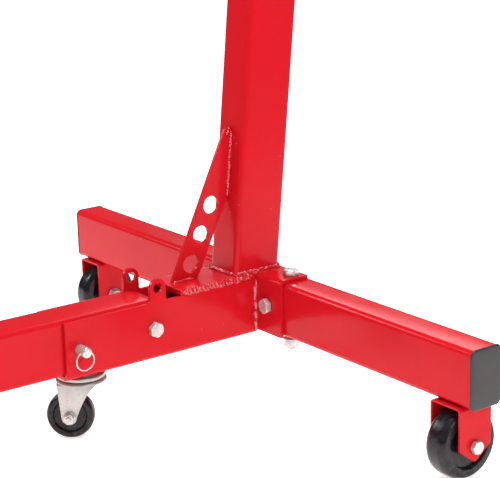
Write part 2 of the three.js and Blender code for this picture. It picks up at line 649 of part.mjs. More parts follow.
function ramFootBracket() {
  const back = MAST.depth / 2 + FIT;
  const width = RAM_BASE.lug + 2 * LUG_GAP + 2 * RAM_BRACKET.plate;
  const reach = FOOT_PIN_X - back + RAM_BRACKET.eye;
  const shape = channelShape(width, reach, RAM_BRACKET.plate, RAM_BRACKET.plate + 2);
  const spread = RAM_BRACKET.spread / 2;
  const fold = solidOf(extruded(shape, 2 * spread + 2 * RAM_BRACKET.eye)
    .rotateZ(-Math.PI / 2)
    .translate(back, 0, FOOT_PIN_U - spread - RAM_BRACKET.eye));
  const side = stadium(
    [FOOT_PIN_X, FOOT_PIN_U, RAM_BRACKET.eye],
    [back + 2, FOOT_PIN_U + spread - 2, 2],
    [back + 2, FOOT_PIN_U - spread + 2, 2],
  );
  const bracket = cut(
    fold.intersect(alongY(side, [-width, width])),
    rod('y', holeFor(M16), [-width, width], [FOOT_PIN_X, FOOT_PIN_U]),
  );
  return piece('ram_foot_bracket', bracket, 'red');
}

function mastGusset() {
  const z0 = WALL_TOP + 2 * FIT + DECK.plate;
  const onMast = (height) => [mastFaceX(z0 + height) + 2 * FIT, z0 + height];
  const foot = [GUSSET.footTo, z0];
  const tip = [onMast(GUSSET.weldTo)[0] + GUSSET.top, z0 + GUSSET.weldTo];
  const plate = outline([
    [GUSSET.footFrom, z0], foot, tip, onMast(GUSSET.weldTo), onMast(GUSSET.weldFrom),
  ]);
  const edge = new THREE.Vector2(tip[0] - foot[0], tip[1] - foot[1]).normalize();
  const across = [-GUSSET.plate, GUSSET.plate];
  const holes = [];
  for (let i = 0; i < GUSSET_HOLES.count; i += 1) {
    const along = GUSSET_HOLES.first + i * GUSSET_HOLES.pitch;
    const x = foot[0] + edge.x * along - edge.y * GUSSET_HOLES.inset;
    const z = foot[1] + edge.y * along + edge.x * GUSSET_HOLES.inset;
    holes.push(rod('y', GUSSET_HOLES.diameter, across, [x, z], BROAD));
  }
  const half = GUSSET.plate / 2;
  return piece('mast_gusset', cut(alongY(plate, [-half, half]), ...holes), 'red');
}

// ---------------------------------------------------------------- boom

// The boom's own frame: pivot at the origin, +X along the boom.
function boomAssembly() {
  const group = new THREE.Group();
  const width = [-BOOM_WIDTH, BOOM_WIDTH];
  const bossFace = -BOOM_WIDTH / 2 - CLAMP.bossHeight;
  const clampHole = M12.diameter + 2 * RUNNING;
  const outer = cut(
    join(
      alongX(tubeShape(BOOM_WIDTH, BOOM.height, BOOM.wall, BOOM.corner), [-BOOM.back, BOOM.length]),
      rod('y', CLAMP.boss, [bossFace, -BOOM_WIDTH / 2 + 1], [CLAMP.x, 0]),
    ),
    rod('y', holeFor(M16), width, [0, 0]),
    rod('y', clampHole, [bossFace - 1, 0], [CLAMP.x, 0]),
  );
  group.add(piece('boom_outer', outer, 'red'));

  const inner = cut(
    alongX(
      tubeShape(INNER_WIDTH, INNER_HEIGHT, INNER_BOOM.wall, INNER_BOOM.corner),
      [INNER_BOOM.from, INNER_BOOM.to],
    ),
    rod('y', holeFor(M12), width, [HOOK_X, 0]),
  );
  group.add(piece('boom_inner', inner, 'red'));

  const tip = -INNER_WIDTH / 2 - RUNNING;
  const barY = bossFace - CLAMP.reach + CLAMP.barDiameter;
  const screw = join(
    rod('y', M12.diameter, [bossFace - CLAMP.reach, tip], [CLAMP.x, 0]),
    rod('z', CLAMP.barDiameter, [-CLAMP.bar / 2, CLAMP.bar / 2], [CLAMP.x, barY], 10),
  );
  group.add(piece('boom_clamp_screw', screw, 'zinc'));
  group.add(ramHeadBracket());

  const headOutside = ROD_EYE.width / 2 + LUG_GAP + RAM_BRACKET.plate;
  const headPlace = [HEAD_PIN_X, headOutside, HEAD_PIN_Z];
  group.add(bolt('ram_head_bolt', M16, 2 * headOutside, headPlace, HEAD_LEFT));
  group.add(hookAssembly());
  group.position.copy(BOOM_PIVOT);
  group.rotation.y = -BOOM.rest * DEG;
  return group;
}

function ramHeadBracket() {
  const width = ROD_EYE.width + 2 * LUG_GAP + 2 * RAM_BRACKET.plate;
  const top = -BOOM.height / 2 - FIT;
  const depth = top - HEAD_PIN_Z + RAM_BRACKET.eye;
  const half = RAM_BRACKET.headLength / 2;
  const shape = channelShape(width, depth, RAM_BRACKET.plate, RAM_BRACKET.plate + 2);
  const fold = alongX(shape, [-half, half]).rotate([180, 0, 0]).translate([HEAD_PIN_X, 0, top]);
  const side = stadium(
    [HEAD_PIN_X, HEAD_PIN_Z, RAM_BRACKET.eye],
    [HEAD_PIN_X - half + 2, top - 2, 2],
    [HEAD_PIN_X + half - 2, top - 2, 2],
  );
  const bracket = cut(
    fold.intersect(alongY(side, [-width, width])),
    rod('y', holeFor(M16), [-width, width], [HEAD_PIN_X, HEAD_PIN_Z]),
  );
  return piece('ram_head_bracket', bracket, 'red');
}

// ---------------------------------------------------------------- hook

function hookAssembly() {
  const group = new THREE.Group();
  const inside = INNER_WIDTH + 2 * RUNNING;
  const outside = inside + 2 * CLEVIS.plate;
  const bottom = -CLEVIS.inside - CLEVIS.plate;
  const shape = channelShape(outside, CLEVIS.top - bottom, CLEVIS.plate, CLEVIS.plate + CLEVIS.bend);
  const halfX = CLEVIS.width / 2;
  const fold = alongX(shape, [-halfX, halfX]).translate([0, 0, bottom]);
  const side = stadium([0, 0, halfX], [-halfX + 1, bottom + 1, 1], [halfX - 1, bottom + 1, 1]);
  const clevis = cut(
    fold.intersect(alongY(side, [-outside, outside])),
    rod('y', holeFor(M12), [-outside, outside], [0, 0]),
    rod('z', HOOK.shank + 2 * RUNNING, [bottom - 1, bottom + CLEVIS.plate + 1]),
  );
  group.add(piece('hook_clevis', clevis, 'zinc'));
  group.add(bolt('hook_bolt', M12, outside, [0, outside / 2, 0], HEAD_LEFT));

  const swivel = new THREE.Group();
  swivel.position.z = bottom;
  swivel.add(...hookAndLatch());
  group.add(swivel);
  group.position.x = HOOK_X;
  return group;
}

// The hook's own frame: swivel axis Z, origin at the underside of the clevis.
function hookAndLatch() {
  const path = new THREE.CatmullRomCurve3([
    [0, -2], [0, -20], [-13, -34], [-25, -50], [-26, -68],
    [-16, -85], [1, -92], [19, -85], [28, -69], [30, -55],
  ].map(([x, z]) => new THREE.Vector3(x, 0, z)));
  const section = new THREE.Shape().absarc(0, 0, HOOK.bar / 2, 0, 2 * Math.PI);
  const body = solidOf(new THREE.ExtrudeGeometry(section, {
    steps: 18, curveSegments: 5, extrudePath: path,
  }));
  const nutFrom = CLEVIS.plate + FIT;
  const pinAt = [HOOK_LATCH.x, HOOK_LATCH.z];
  const hook = cut(
    join(
      body,
      rod('z', HOOK.shank, [-8, nutFrom + HOOK.nutHeight / 2]),
      rod('z', HOOK.bar + 6, [-6, -FIT]),
      hexagon(HOOK.nutAcross, [nutFrom, nutFrom + HOOK.nutHeight]),
    ),
    rod('y', HOOK_LATCH.pin + 2 * RUNNING, [-HOOK.bar, HOOK.bar], pinAt, 10),
  );

  const inside = HOOK.bar / 2 + RUNNING;
  const outside = inside + HOOK_LATCH.sheet;
  const cheek = stadium([0, 0, HOOK_LATCH.eye], [HOOK_LATCH.from + 4, 0, 4]);
  const latch = join(
    alongY(cheek, [inside, outside]),
    alongY(cheek, [-outside, -inside]),
    rod('y', HOOK_LATCH.pin, [-outside, outside], [0, 0], 10),
    block([HOOK_LATCH.from, HOOK_LATCH.to], [-outside, outside], [-1, HOOK_LATCH.sheet - 1]),
  );
  const hookMesh = piece('hook', hook, 'black');
  const latchMesh = piece('hook_latch', latch, 'zinc');
  latchMesh.position.set(HOOK_LATCH.x, 0, HOOK_LATCH.z);
  latchMesh.rotation.y = -HOOK_LATCH.angle * DEG;
  return [hookMesh, latchMesh];
}

// ---------------------------------------------------------------- ram and pump

// The ram's own frame: foot pin at the origin, +Z along the rod.
function ramAssembly() {
  const group = new THREE.Group();
  const { half, halfWidth, from, to, lug, eye } = RAM_BASE;
  const boreSize = RAM.rod + 2 * RAM_BASE.boreGap;
  const glandTop = RAM.top + RAM.glandHeight;
  const pumpSpan = [PUMP.y - PUMP.half, PUMP.y + PUMP.half];
  const lugSpan = [PUMP.y - LEVER_LUG.width / 2, PUMP.y + LEVER_LUG.width / 2];
  const valveSpan = [-halfWidth - 1, -halfWidth + VALVE.depth];
  const plungerX = LEVER.x + LEVER.arm - LEVER.inset;
  const body = cut(
    join(
      block([-half, half], [-halfWidth, halfWidth], [from, to]),
      alongY(stadium([0, 0, eye], [-eye + 2, from + 3, 2], [eye - 2, from + 3, 2]), [-lug / 2, lug / 2]),
      rod('z', RAM_NECK.diameter, [to - 1, RAM.top], [0, 0], BARREL_STEPS),
      rod('z', RAM.barrel, [to + RAM_NECK.below, RAM.top - RAM_NECK.above], [0, 0], BARREL_STEPS),
      rod('z', RAM.gland, [RAM.top - 1, glandTop], [0, 0], BARREL_STEPS),
      block([-half, PUMP.half], [halfWidth - 1, pumpSpan[1]], [from, PUMP.top]),
      rod('z', PUMP.barrel, [PUMP.top - 1, PUMP.barrelTop], [plungerX, PUMP.y]),
      alongY(
        stadium([LEVER.x, LEVER.z, LEVER_LUG.radius], [-half + 6, PUMP.top - 4, 6]),
        lugSpan,
      ),
    ),
    rod('y', holeFor(M16), [-lug, lug], [0, 0]),
    rod('z', boreSize, [RAM.boreFrom, glandTop + 1], [0, 0], BROAD),
    rod('z', PUMP.plunger + 2 * RUNNING, [PUMP.plungerFrom - 4, PUMP.barrelTop + 1], [plungerX, PUMP.y]),
    rod('y', LEVER.pin + 2 * RUNNING, [lugSpan[0] - 1, lugSpan[1] + 1], [LEVER.x, LEVER.z], 12),
    rod('y', VALVE.shaft + 2 * RUNNING, valveSpan, [0, VALVE.z], 12),
  );
  group.add(piece('ram_body', body, 'black'));

  const rodSolid = cut(
    join(
      rod('z', RAM.rod, [RAM_LENGTH - RAM.rodBelow, RAM_LENGTH - 4], [0, 0], BROAD),
      rod('y', 2 * ROD_EYE.radius, [-ROD_EYE.width / 2, ROD_EYE.width / 2], [0, RAM_LENGTH], BROAD),
    ),
    rod('y', holeFor(M16), [-ROD_EYE.width, ROD_EYE.width], [0, RAM_LENGTH]),
  );
  group.add(piece('ram_rod', rodSolid, 'chrome'));
  group.add(...pumpPieces(plungerX), releaseValve());
  group.position.copy(FOOT_PIN);
  group.rotation.y = RAM_TILT;
  return group;
}

function pumpPieces(plungerX) {
  const rest = LEVER.restAngle * DEG;
  const crossX = LEVER.x + LEVER.arm * Math.cos(rest);
  const crossZ = LEVER.z + LEVER.arm * Math.sin(rest);
  const lugHalf = LEVER_LUG.width / 2;
  const slotHeight = LEVER.crossPin + 2 * PLUNGER_HEAD.slotPlay;
  const slot = stadium(
    [plungerX - PLUNGER_HEAD.slotHalf + slotHeight / 2, crossZ, slotHeight / 2],
    [plungerX + PLUNGER_HEAD.slotHalf - slotHeight / 2, crossZ, slotHeight / 2],
  );
  const headSpan = [crossZ - PLUNGER_HEAD.rise, crossZ + PLUNGER_HEAD.rise];
  const plunger = cut(
    join(
      rod('z', PUMP.plunger, [PUMP.plungerFrom, crossZ], [plungerX, PUMP.y]),
      block(
        [plungerX - PLUNGER_HEAD.half, plungerX + PLUNGER_HEAD.half],
        [PUMP.y - lugHalf, PUMP.y + lugHalf],
        headSpan,
      ),
    ),
    alongY(slot, [PUMP.y - LEVER_LUG.width, PUMP.y + LEVER_LUG.width]),
  );

  const angle = SOCKET.angle * DEG;
  const baseX = LEVER.x + SOCKET.from * Math.cos(angle);
  const baseZ = LEVER.z + SOCKET.from * Math.sin(angle);
  const cheekInside = lugHalf + RUNNING;
  const cheekOutside = cheekInside + LEVER.plate;
  const cheek = stadium([LEVER.x, LEVER.z, 9], [crossX, crossZ, 8], [baseX, baseZ, 11]);
  const alongSocket = (diameter, from, to) => rod('z', diameter, [from, to], [0, 0], ROUND)
    .rotate([0, 90 - SOCKET.angle, 0])
    .translate([baseX, PUMP.y, baseZ]);
  const lever = cut(
    join(
      alongY(cheek, [PUMP.y + cheekInside, PUMP.y + cheekOutside]),
      alongY(cheek, [PUMP.y - cheekOutside, PUMP.y - cheekInside]),
      rod('y', LEVER.pin, [PUMP.y - cheekOutside, PUMP.y + cheekOutside], [LEVER.x, LEVER.z], 12),
      rod('y', LEVER.crossPin, [PUMP.y - cheekOutside, PUMP.y + cheekOutside], [crossX, crossZ], 12),
      alongSocket(SOCKET.diameter, 0, SOCKET.length),
    ),
    alongSocket(SOCKET.bore, HANDLE.seat, SOCKET.length + 1),
  );
  const handleFrom = HANDLE.seat + RUNNING;
  const handle = cut(
    alongSocket(HANDLE.diameter, handleFrom, handleFrom + HANDLE.length),
    alongSocket(HANDLE.bore, handleFrom - 1, handleFrom + HANDLE.length + 1),
  );
  return [
    piece('pump_plunger', plunger, 'chrome'),
    piece('pump_lever', lever, 'red'),
    piece('pump_handle', handle, 'zinc'),
  ];
}

function releaseValve() {
  const face = -RAM_BASE.halfWidth;
  const end = face - VALVE.reach;
  const barHalf = VALVE.bar / 2;
  const valve = join(
    rod('y', VALVE.shaft, [end, face + VALVE.depth - RUNNING], [0, VALVE.z], 12),
    rod('x', VALVE.barDiameter, [-barHalf, barHalf], [end + VALVE.barDiameter, VALVE.z], 16),
  );
  return piece('release_valve', valve, 'zinc');
}

// ---------------------------------------------------------------- the whole crane

const crane = new THREE.Group();
const rearNames = { bar: 'crossbar', cap: 'end_cap', saddle: 'saddle', bolt: 'saddle_bolt' };
const centreCaster = caster('centre_caster', RIDE - CHANNEL.drop, HEADINGS.centre);
centreCaster.position.set(CENTRE_CASTER_X, 0, -RIDE);
crane.add(
  crossbarSet(rearNames, REAR, 1),
  rearWheels(),
  legChannel(),
  lockPin(),
  centreCaster,
  foldingLeg(),
  mastAssembly(),
  boomAssembly(),
  ramAssembly(),
);

crane.updateMatrixWorld(true);
const box = new THREE.Box3().setFromObject(crane, true);
const middle = box.getCenter(new THREE.Vector3());
crane.position.set(-middle.x, -middle.y, -box.min.z);

const model = new THREE.Group();
model.add(crane);
export default model;
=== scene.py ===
"""Looks of a folding engine hoist crane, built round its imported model.

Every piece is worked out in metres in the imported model's frame: +X forward along the leg, +Y to the
crane's left, +Z up, with the floor at z = 0.
"""

import json
import logging
import math
from collections.abc import Sequence
from dataclasses import dataclass, field
from enum import Enum

import bmesh
import bpy
import numpy as np
from mathutils import Matrix, Vector


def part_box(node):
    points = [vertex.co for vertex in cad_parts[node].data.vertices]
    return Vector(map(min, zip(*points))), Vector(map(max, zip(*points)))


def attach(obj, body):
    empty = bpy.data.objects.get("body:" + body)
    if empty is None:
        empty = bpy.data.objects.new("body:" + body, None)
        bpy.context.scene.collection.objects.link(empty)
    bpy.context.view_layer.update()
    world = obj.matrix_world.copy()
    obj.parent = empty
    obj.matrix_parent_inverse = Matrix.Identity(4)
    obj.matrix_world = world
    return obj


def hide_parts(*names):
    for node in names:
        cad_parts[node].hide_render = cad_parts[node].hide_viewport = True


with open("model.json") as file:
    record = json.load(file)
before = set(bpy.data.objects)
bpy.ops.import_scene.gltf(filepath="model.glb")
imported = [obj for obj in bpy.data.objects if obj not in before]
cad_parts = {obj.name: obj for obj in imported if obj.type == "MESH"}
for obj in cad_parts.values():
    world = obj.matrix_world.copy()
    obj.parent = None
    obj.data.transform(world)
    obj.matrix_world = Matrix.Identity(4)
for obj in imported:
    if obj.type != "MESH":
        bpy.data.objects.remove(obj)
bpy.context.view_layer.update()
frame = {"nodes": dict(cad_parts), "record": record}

logging.basicConfig(level=logging.INFO, format="%(name)s: %(message)s")
log = logging.getLogger("hoist")

Piece = bpy.types.Object
Socket = bpy.types.NodeSocket
Colour = tuple[float, float, float]
MM = 0.001
TURN = 2.0 * math.pi
FIT = 0.3 * MM  # gap that touching pieces keep
SHARP = math.radians(35.0)  # edges sharper than this are rounded or kept crisp
UP = np.array([0.0, 0.0, 1.0])
TINY = 0.01 * MM  # step that keeps two rows of a surface apart
MERGED = 0.004 * MM  # vertices nearer than this become one
FLAT = math.radians(0.6)  # faces that turn by less than this become one


class Finish(Enum):
    """The finishes, each with the record's material slot that it belongs to."""

    RED = ("red", "red_paint")
    WELD = ("weld", "red_paint")
    CAP = ("cap", "cap_plastic")
    WHEEL = ("wheel", "wheel_black")
    FASTENER = ("fastener", "zinc_fastener")
    CASTER = ("caster", "zinc_caster")
    CHROME = ("chrome", "chrome_rod")
    BLACK = ("black", "black_paint")

    @property
    def slot(self) -> str:
        """The name of the material slot."""
        return self.value[1]


# ------------------------------------------------------------------ places read from the frame


def joint(name: str) -> dict:
    """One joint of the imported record, by name."""
    return next(j for j in frame["record"]["behaviour"]["joints"] if j["name"] == name)


def joint_place(name: str) -> np.ndarray:
    """The point that a hinge turns about."""
    return np.array(joint(name)["pos_m"])


def joint_axis(name: str) -> np.ndarray:
    """The axis of a joint, as a unit vector."""
    axis = np.array(joint(name)["axis"], dtype=float)
    return axis / np.linalg.norm(axis)


def span(node: str) -> tuple[np.ndarray, np.ndarray]:
    """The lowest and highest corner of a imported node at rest."""
    low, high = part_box(node)
    return np.array(low), np.array(high)


def body_of(node: str) -> str:
    """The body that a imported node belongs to."""
    bodies = frame["record"]["behaviour"]["bodies"]
    return next(body for body, nodes in bodies.items() if node in nodes)


def vertices(node: str) -> np.ndarray:
    """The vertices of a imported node, as (vertex, xyz)."""
    mesh = frame["nodes"][node].data
    points = np.empty(len(mesh.vertices) * 3, dtype=np.float32)
    mesh.vertices.foreach_get("co", points)
    return points.reshape(-1, 3)


# ------------------------------------------------------------------ surfaces


def linked(name: str, data: bpy.types.ID) -> bpy.types.Object:
    """A new object in the scene that holds a mesh, a lamp or a lens."""
    made = bpy.data.objects.new(name, data)
    bpy.context.scene.collection.objects.link(made)
    return made


def surface(name: str, rows: np.ndarray, ring: bool = False) -> Piece:
    """Makes a closed mesh from a grid of points that runs round in its second direction.

    Args:
        name: The piece's name.
        rows: Points as (row, place round the row, xyz).
        ring: True where the last row joins the first; else the two end rows are closed by a face.

    Returns:
        The new object, smooth, with its faces pointing outwards.
    """
    count, around, _ = rows.shape
    index = np.arange(count * around).reshape(count, around)
    lower = index if ring else index[:-1]
    upper = np.roll(index, -1, axis=0) if ring else index[1:]
    quads = np.stack(
        [lower, np.roll(lower, -1, axis=1), np.roll(upper, -1, axis=1), upper], axis=-1
    ).reshape(-1, 4)
    faces = quads.tolist()
    if not ring:
        faces += [index[0][::-1].tolist(), index[-1].tolist()]
    points = rows.reshape(-1, 3)
    corner = points[quads]
    volume = np.einsum("ij,ij->i", corner[:, 0], np.cross(corner[:, 1], corner[:, 2])).sum()
    volume += np.einsum("ij,ij->i", corner[:, 0], np.cross(corner[:, 2], corner[:, 3])).sum()
    if not ring:
        for cap, sign in ((rows[0], -1.0), (rows[-1], 1.0)):
            fan = np.cross(cap[1:-1] - cap[0], cap[2:] - cap[0]).sum(axis=0)
            volume += sign * float(cap[0] @ fan)
    if volume < 0.0:
        faces = [face[::-1] for face in faces]
    mesh = bpy.data.meshes.new(name)
    mesh.from_pydata(points.tolist(), [], faces)
    mesh.shade_smooth()
    mesh.set_sharp_from_angle(angle=SHARP)
    return linked(name, mesh)


def axes_along(direction: np.ndarray) -> np.ndarray:
    """Three unit vectors as rows, the last of them along a direction."""
    z = np.asarray(direction, dtype=float) / np.linalg.norm(direction)
    seed = UP if abs(z[2]) < 0.9 else np.array([1.0, 0.0, 0.0])
    x = np.cross(seed, z)
    x /= np.linalg.norm(x)
    return np.stack([x, np.cross(z, x), z])


def turned(
    name: str,
    profile: np.ndarray,
    centre: np.ndarray,
    axis: np.ndarray,
    sides: int = 64,
    ring: bool = False,
) -> Piece:
    """Turns a profile about an axis: each point (radius, height) becomes a circle of that radius.

    Args:
        name: The piece's name.
        profile: Points as (radius, height along the axis).
        centre: The place of height 0 on the axis.
        axis: The direction of increasing height.
        sides: Points round each circle.
        ring: True for a profile that closes on itself round a bore.

    Returns:
        The new object.
    """
    angle = np.linspace(0.0, TURN, sides, endpoint=False)
    x, y, z = axes_along(axis)
    radius = profile[:, 0][:, None, None]
    height = profile[:, 1][:, None, None]
    circle = np.cos(angle)[:, None] * x + np.sin(angle)[:, None] * y
    return surface(name, centre + radius * circle + height * z, ring)


def arc(
    centre: tuple[float, float], radius: float, start: float, end: float, count: int = 6
) -> np.ndarray:
    """Points along a circular arc, its angles in degrees."""
    angle = np.radians(np.linspace(start, end, count))
    x, y = centre[0] + radius * np.cos(angle), centre[1] + radius * np.sin(angle)
    return np.stack([x, y], axis=-1)


def rounded_rectangle(width: float, height: float, radius: float, count: int = 7) -> np.ndarray:
    """Points round a centred rectangle whose corners are quarter circles."""
    x, y = width / 2.0 - radius, height / 2.0 - radius
    corners = [((x, y), 0.0), ((-x, y), 90.0), ((-x, -y), 180.0), ((x, -y), 270.0)]
    return np.concatenate([arc(c, radius, a, a + 90.0, count) for c, a in corners])


def swept(name: str, path: np.ndarray, radius: np.ndarray, ring: bool = False) -> Piece:
    """Carries a round section along a path, turning it as little as it can on the way.

    The section's centre follows the path; its radius is given for each step and each angle.

    Args:
        name: The piece's name.
        path: Points as (step, xyz).
        radius: Radii as (step, angle).
        ring: True for a path that closes on itself.

    Returns:
        The new object.
    """
    if ring:
        tangent = np.roll(path, -1, axis=0) - np.roll(path, 1, axis=0)
    else:
        tangent = np.gradient(path, axis=0)
    tangent /= np.linalg.norm(tangent, axis=1)[:, None]
    across = np.cross(path[len(path) // 3] - path[0], path[-len(path) // 3] - path[0])
    if np.linalg.norm(across) < 1e-9:  # the path is straight
        across = axes_along(tangent[0])[0]
    across = across / np.linalg.norm(across)
    side = across - (tangent @ across)[:, None] * tangent
    side /= np.linalg.norm(side, axis=1)[:, None]
    up = np.cross(tangent, side)
    angle = np.linspace(0.0, TURN, radius.shape[1], endpoint=False)
    cosine, sine = np.cos(angle)[None, :, None], np.sin(angle)[None, :, None]
    spokes = cosine * side[:, None] + sine * up[:, None]
    return surface(name, path[:, None] + radius[:, :, None] * spokes, ring)


def round_edges(piece: Piece, width: float, angle: float, harden: bool) -> None:
    """Rounds the edges of a piece that are sharper than an angle.

    Args:
        piece: The piece.
        width: The radius of the rounded edges.
        angle: The least angle between two faces whose edge is rounded.
        harden: True to keep the flat faces' own normals.
    """
    edge = piece.modifiers.new("rounded_edges", "BEVEL")
    edge.width = width
    edge.segments = 2
    edge.limit_method = "ANGLE"
    edge.angle_limit = angle
    edge.harden_normals = harden


def refined(node: str, bevel: float) -> Piece:
    """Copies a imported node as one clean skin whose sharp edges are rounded.

    Args:
        node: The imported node.
        bevel: The radius of the rounded edges.

    Returns:
        The new object.
    """
    source = frame["nodes"][node].data
    source.calc_loop_triangles()
    triangles = np.empty(len(source.loop_triangles) * 3, dtype=np.int32)
    source.loop_triangles.foreach_get("vertices", triangles)
    mesh = bpy.data.meshes.new(f"{node}_skin")
    mesh.from_pydata(vertices(node).tolist(), [], triangles.reshape(-1, 3).tolist())
    shape = bmesh.new()
    shape.from_mesh(mesh)
    bmesh.ops.remove_doubles(shape, verts=shape.verts, dist=MERGED)
    bmesh.ops.dissolve_limit(shape, angle_limit=FLAT, verts=shape.verts, edges=shape.edges)
    shape.to_mesh(mesh)
    shape.free()
    mesh.shade_smooth()
    piece = linked(f"{node}_skin", mesh)
    round_edges(piece, bevel, SHARP, harden=True)
    return piece


# ------------------------------------------------------------------ shader groups


class Nodes:
    """Short ways to add and join shader nodes in one tree."""

    def __init__(self, tree: bpy.types.NodeTree) -> None:
        """Keeps the tree that nodes are added to."""
        self.tree = tree

    def put(self, value: object, target: Socket) -> None:
        """Joins an output socket to an input, or sets the input where the value is a constant."""
        if isinstance(value, Socket):
            self.tree.links.new(value, target)
        else:
            target.default_value = value

    def add(self, kind: str, **values: object) -> bpy.types.Node:
        """Adds a node and sets its properties and its input sockets by name.

        Args:
            kind: The node's type.
            **values: Properties, or input sockets with spaces written as underscores; each a
                constant or another node's output socket.

        Returns:
            The new node.
        """
        node = self.tree.nodes.new(kind)
        for key, value in values.items():
            if hasattr(node, key):
                setattr(node, key, value)
            else:
                self.put(value, node.inputs[key.replace("_", " ")])
        return node

    def noise(self, place: Socket, scale: object, **values: float) -> Socket:
        """Adds noise read at a place and gives its value's socket.

        Args:
            place: The place's socket.
            scale: The noise's scale, as a number or a socket.
            **values: Its other inputs.

        Returns:
            The socket of its value.
        """
        node = self.add(
            "ShaderNodeTexNoise", noise_dimensions="3D", Vector=place, Scale=scale, **values
        )
        return node.outputs["Fac"]

    def ramp(self, source: Socket, low: float, high: float) -> Socket:
        """Maps a value between two limits to 0 to 1, smoothly, and gives the result's socket."""
        node = self.add("ShaderNodeMapRange", interpolation_type="SMOOTHSTEP", Value=source)
        self.put(low, node.inputs["From Min"])
        self.put(high, node.inputs["From Max"])
        return node.outputs["Result"]

    def math(self, operation: str, first: object, second: object) -> Socket:
        """Adds a math node on two sockets or numbers and gives the result's socket."""
        node = self.add("ShaderNodeMath", operation=operation)
        self.put(first, node.inputs[0])
        self.put(second, node.inputs[1])
        return node.outputs[0]

    def mix(self, factor: Socket, first: object, second: Colour) -> Socket:
        """Mixes two colours, the first perhaps a socket, and gives the result's socket."""
        node = self.add("ShaderNodeMix", data_type="RGBA", Factor=factor)
        self.put(first if isinstance(first, Socket) else (*first, 1.0), node.inputs[6])
        self.put((*second, 1.0), node.inputs[7])
        return node.outputs[2]


def new_group(
    name: str, inputs: dict[str, float], outputs: tuple[str, ...]
) -> tuple[Nodes, dict, dict]:
    """Starts a shader node group that reads a position and some numbers.

    Args:
        name: The group's name.
        inputs: Each number's name and first value.
        outputs: The names of the values it gives.

    Returns:
        The group's tree, its input sockets and its output sockets, by name.
    """
    tree = bpy.data.node_groups.new(name, "ShaderNodeTree")
    tree.interface.new_socket("Position", in_out="INPUT", socket_type="NodeSocketVector")
    for key, value in inputs.items():
        socket = tree.interface.new_socket(key, in_out="INPUT", socket_type="NodeSocketFloat")
        socket.default_value = value
    for key in outputs:
        tree.interface.new_socket(key, in_out="OUTPUT", socket_type="NodeSocketFloat")
    nodes = Nodes(tree)
    start = nodes.add("NodeGroupInput")
    end = nodes.add("NodeGroupOutput")
    return nodes, {s.name: s for s in start.outputs}, {s.name: s for s in end.inputs}


def skin_texture_group() -> bpy.types.NodeTree:
    """A sprayed skin: rounded ripples with finer grain on them. Gives a height."""
    nodes, given, gives = new_group("skin_texture", {"Size": 1.6, "Grain": 0.25}, ("Height",))
    scale = nodes.math("DIVIDE", 1000.0, given["Size"])
    ripple = nodes.noise(given["Position"], scale, Detail=1.0)
    fine = nodes.noise(given["Position"], nodes.math("MULTIPLY", scale, 4.3), Detail=2.0)
    small = nodes.math("MULTIPLY", fine, given["Grain"])
    nodes.put(nodes.math("ADD", ripple, small), gives["Height"])
    return nodes.tree


def handling_group() -> bpy.types.NodeTree:
    """Marks of handling: broad smears, thin scratches and fine dust specks. Gives three masks."""
    names = ("Smear", "Scratch", "Speck")
    nodes, given, gives = new_group("handling", {"Smear Size": 60.0, "Scratch Amount": 0.5}, names)
    place = given["Position"]
    size = nodes.math("DIVIDE", 1000.0, given["Smear Size"])
    broad = nodes.noise(place, size, Detail=5.0, Roughness=0.62)
    nodes.put(nodes.ramp(broad, 0.38, 0.68), gives["Smear"])

    drawn_out = nodes.add(
        "ShaderNodeMapping", Vector=place, Rotation=(0.5, 0.9, 0.3), Scale=(420.0, 11.0, 60.0)
    )
    lines = nodes.noise(drawn_out.outputs["Vector"], 1.0, Detail=1.0, Distortion=0.6)
    thin = nodes.ramp(lines, 0.70, 0.74)
    patch = nodes.ramp(nodes.noise(place, 9.0, Detail=2.0), 0.52, 0.62)
    scratch = nodes.math("MULTIPLY", nodes.math("MULTIPLY", thin, patch), given["Scratch Amount"])
    nodes.put(scratch, gives["Scratch"])

    dots = nodes.add("ShaderNodeTexVoronoi", voronoi_dimensions="3D", Vector=place, Scale=70.0)
    near = nodes.ramp(dots.outputs["Distance"], 0.075, 0.03)
    nodes.put(nodes.math("MULTIPLY", near, patch), gives["Speck"])
    return nodes.tree


def darker_near_floor_group() -> bpy.types.NodeTree:
    """Darker, rougher patches low down, towards the floor. Gives a mask."""
    nodes, given, gives = new_group("darker_near_floor", {"Height": 0.05, "Amount": 0.5}, ("Mask",))
    parts = nodes.add("ShaderNodeSeparateXYZ", Vector=given["Position"])
    low = nodes.add("ShaderNodeMapRange", Value=parts.outputs["Z"])
    nodes.put(given["Height"], low.inputs["From Min"])
    nodes.put(0.0, low.inputs["From Max"])
    rough = nodes.ramp(nodes.noise(given["Position"], 140.0, Detail=6.0), 0.42, 0.66)
    patchy = nodes.math("MULTIPLY", low.outputs["Result"], rough)
    nodes.put(nodes.math("MULTIPLY", patchy, given["Amount"]), gives["Mask"])
    return nodes.tree


def painted_highlight_group() -> bpy.types.NodeTree:
    """A painted highlight: one near-white spot with a ragged edge round a given place. Gives a mask.
    """
    inputs = {"X": 0.0, "Y": 0.0, "Z": 0.0, "Reach": 0.003}
    nodes, given, gives = new_group("painted_highlight_dot", inputs, ("Mask",))
    spot = nodes.add("ShaderNodeCombineXYZ", X=given["X"], Y=given["Y"], Z=given["Z"])
    away = nodes.add("ShaderNodeVectorMath", operation="DISTANCE")
    nodes.put(given["Position"], away.inputs[0])
    nodes.put(spot.outputs["Vector"], away.inputs[1])
    ragged = nodes.noise(given["Position"], 900.0, Detail=3.0)
    near = nodes.math("DIVIDE", away.outputs["Value"], given["Reach"])
    near = nodes.math("ADD", near, nodes.math("MULTIPLY", ragged, 0.9))
    nodes.put(nodes.ramp(near, 1.5, 1.3), gives["Mask"])
    return nodes.tree
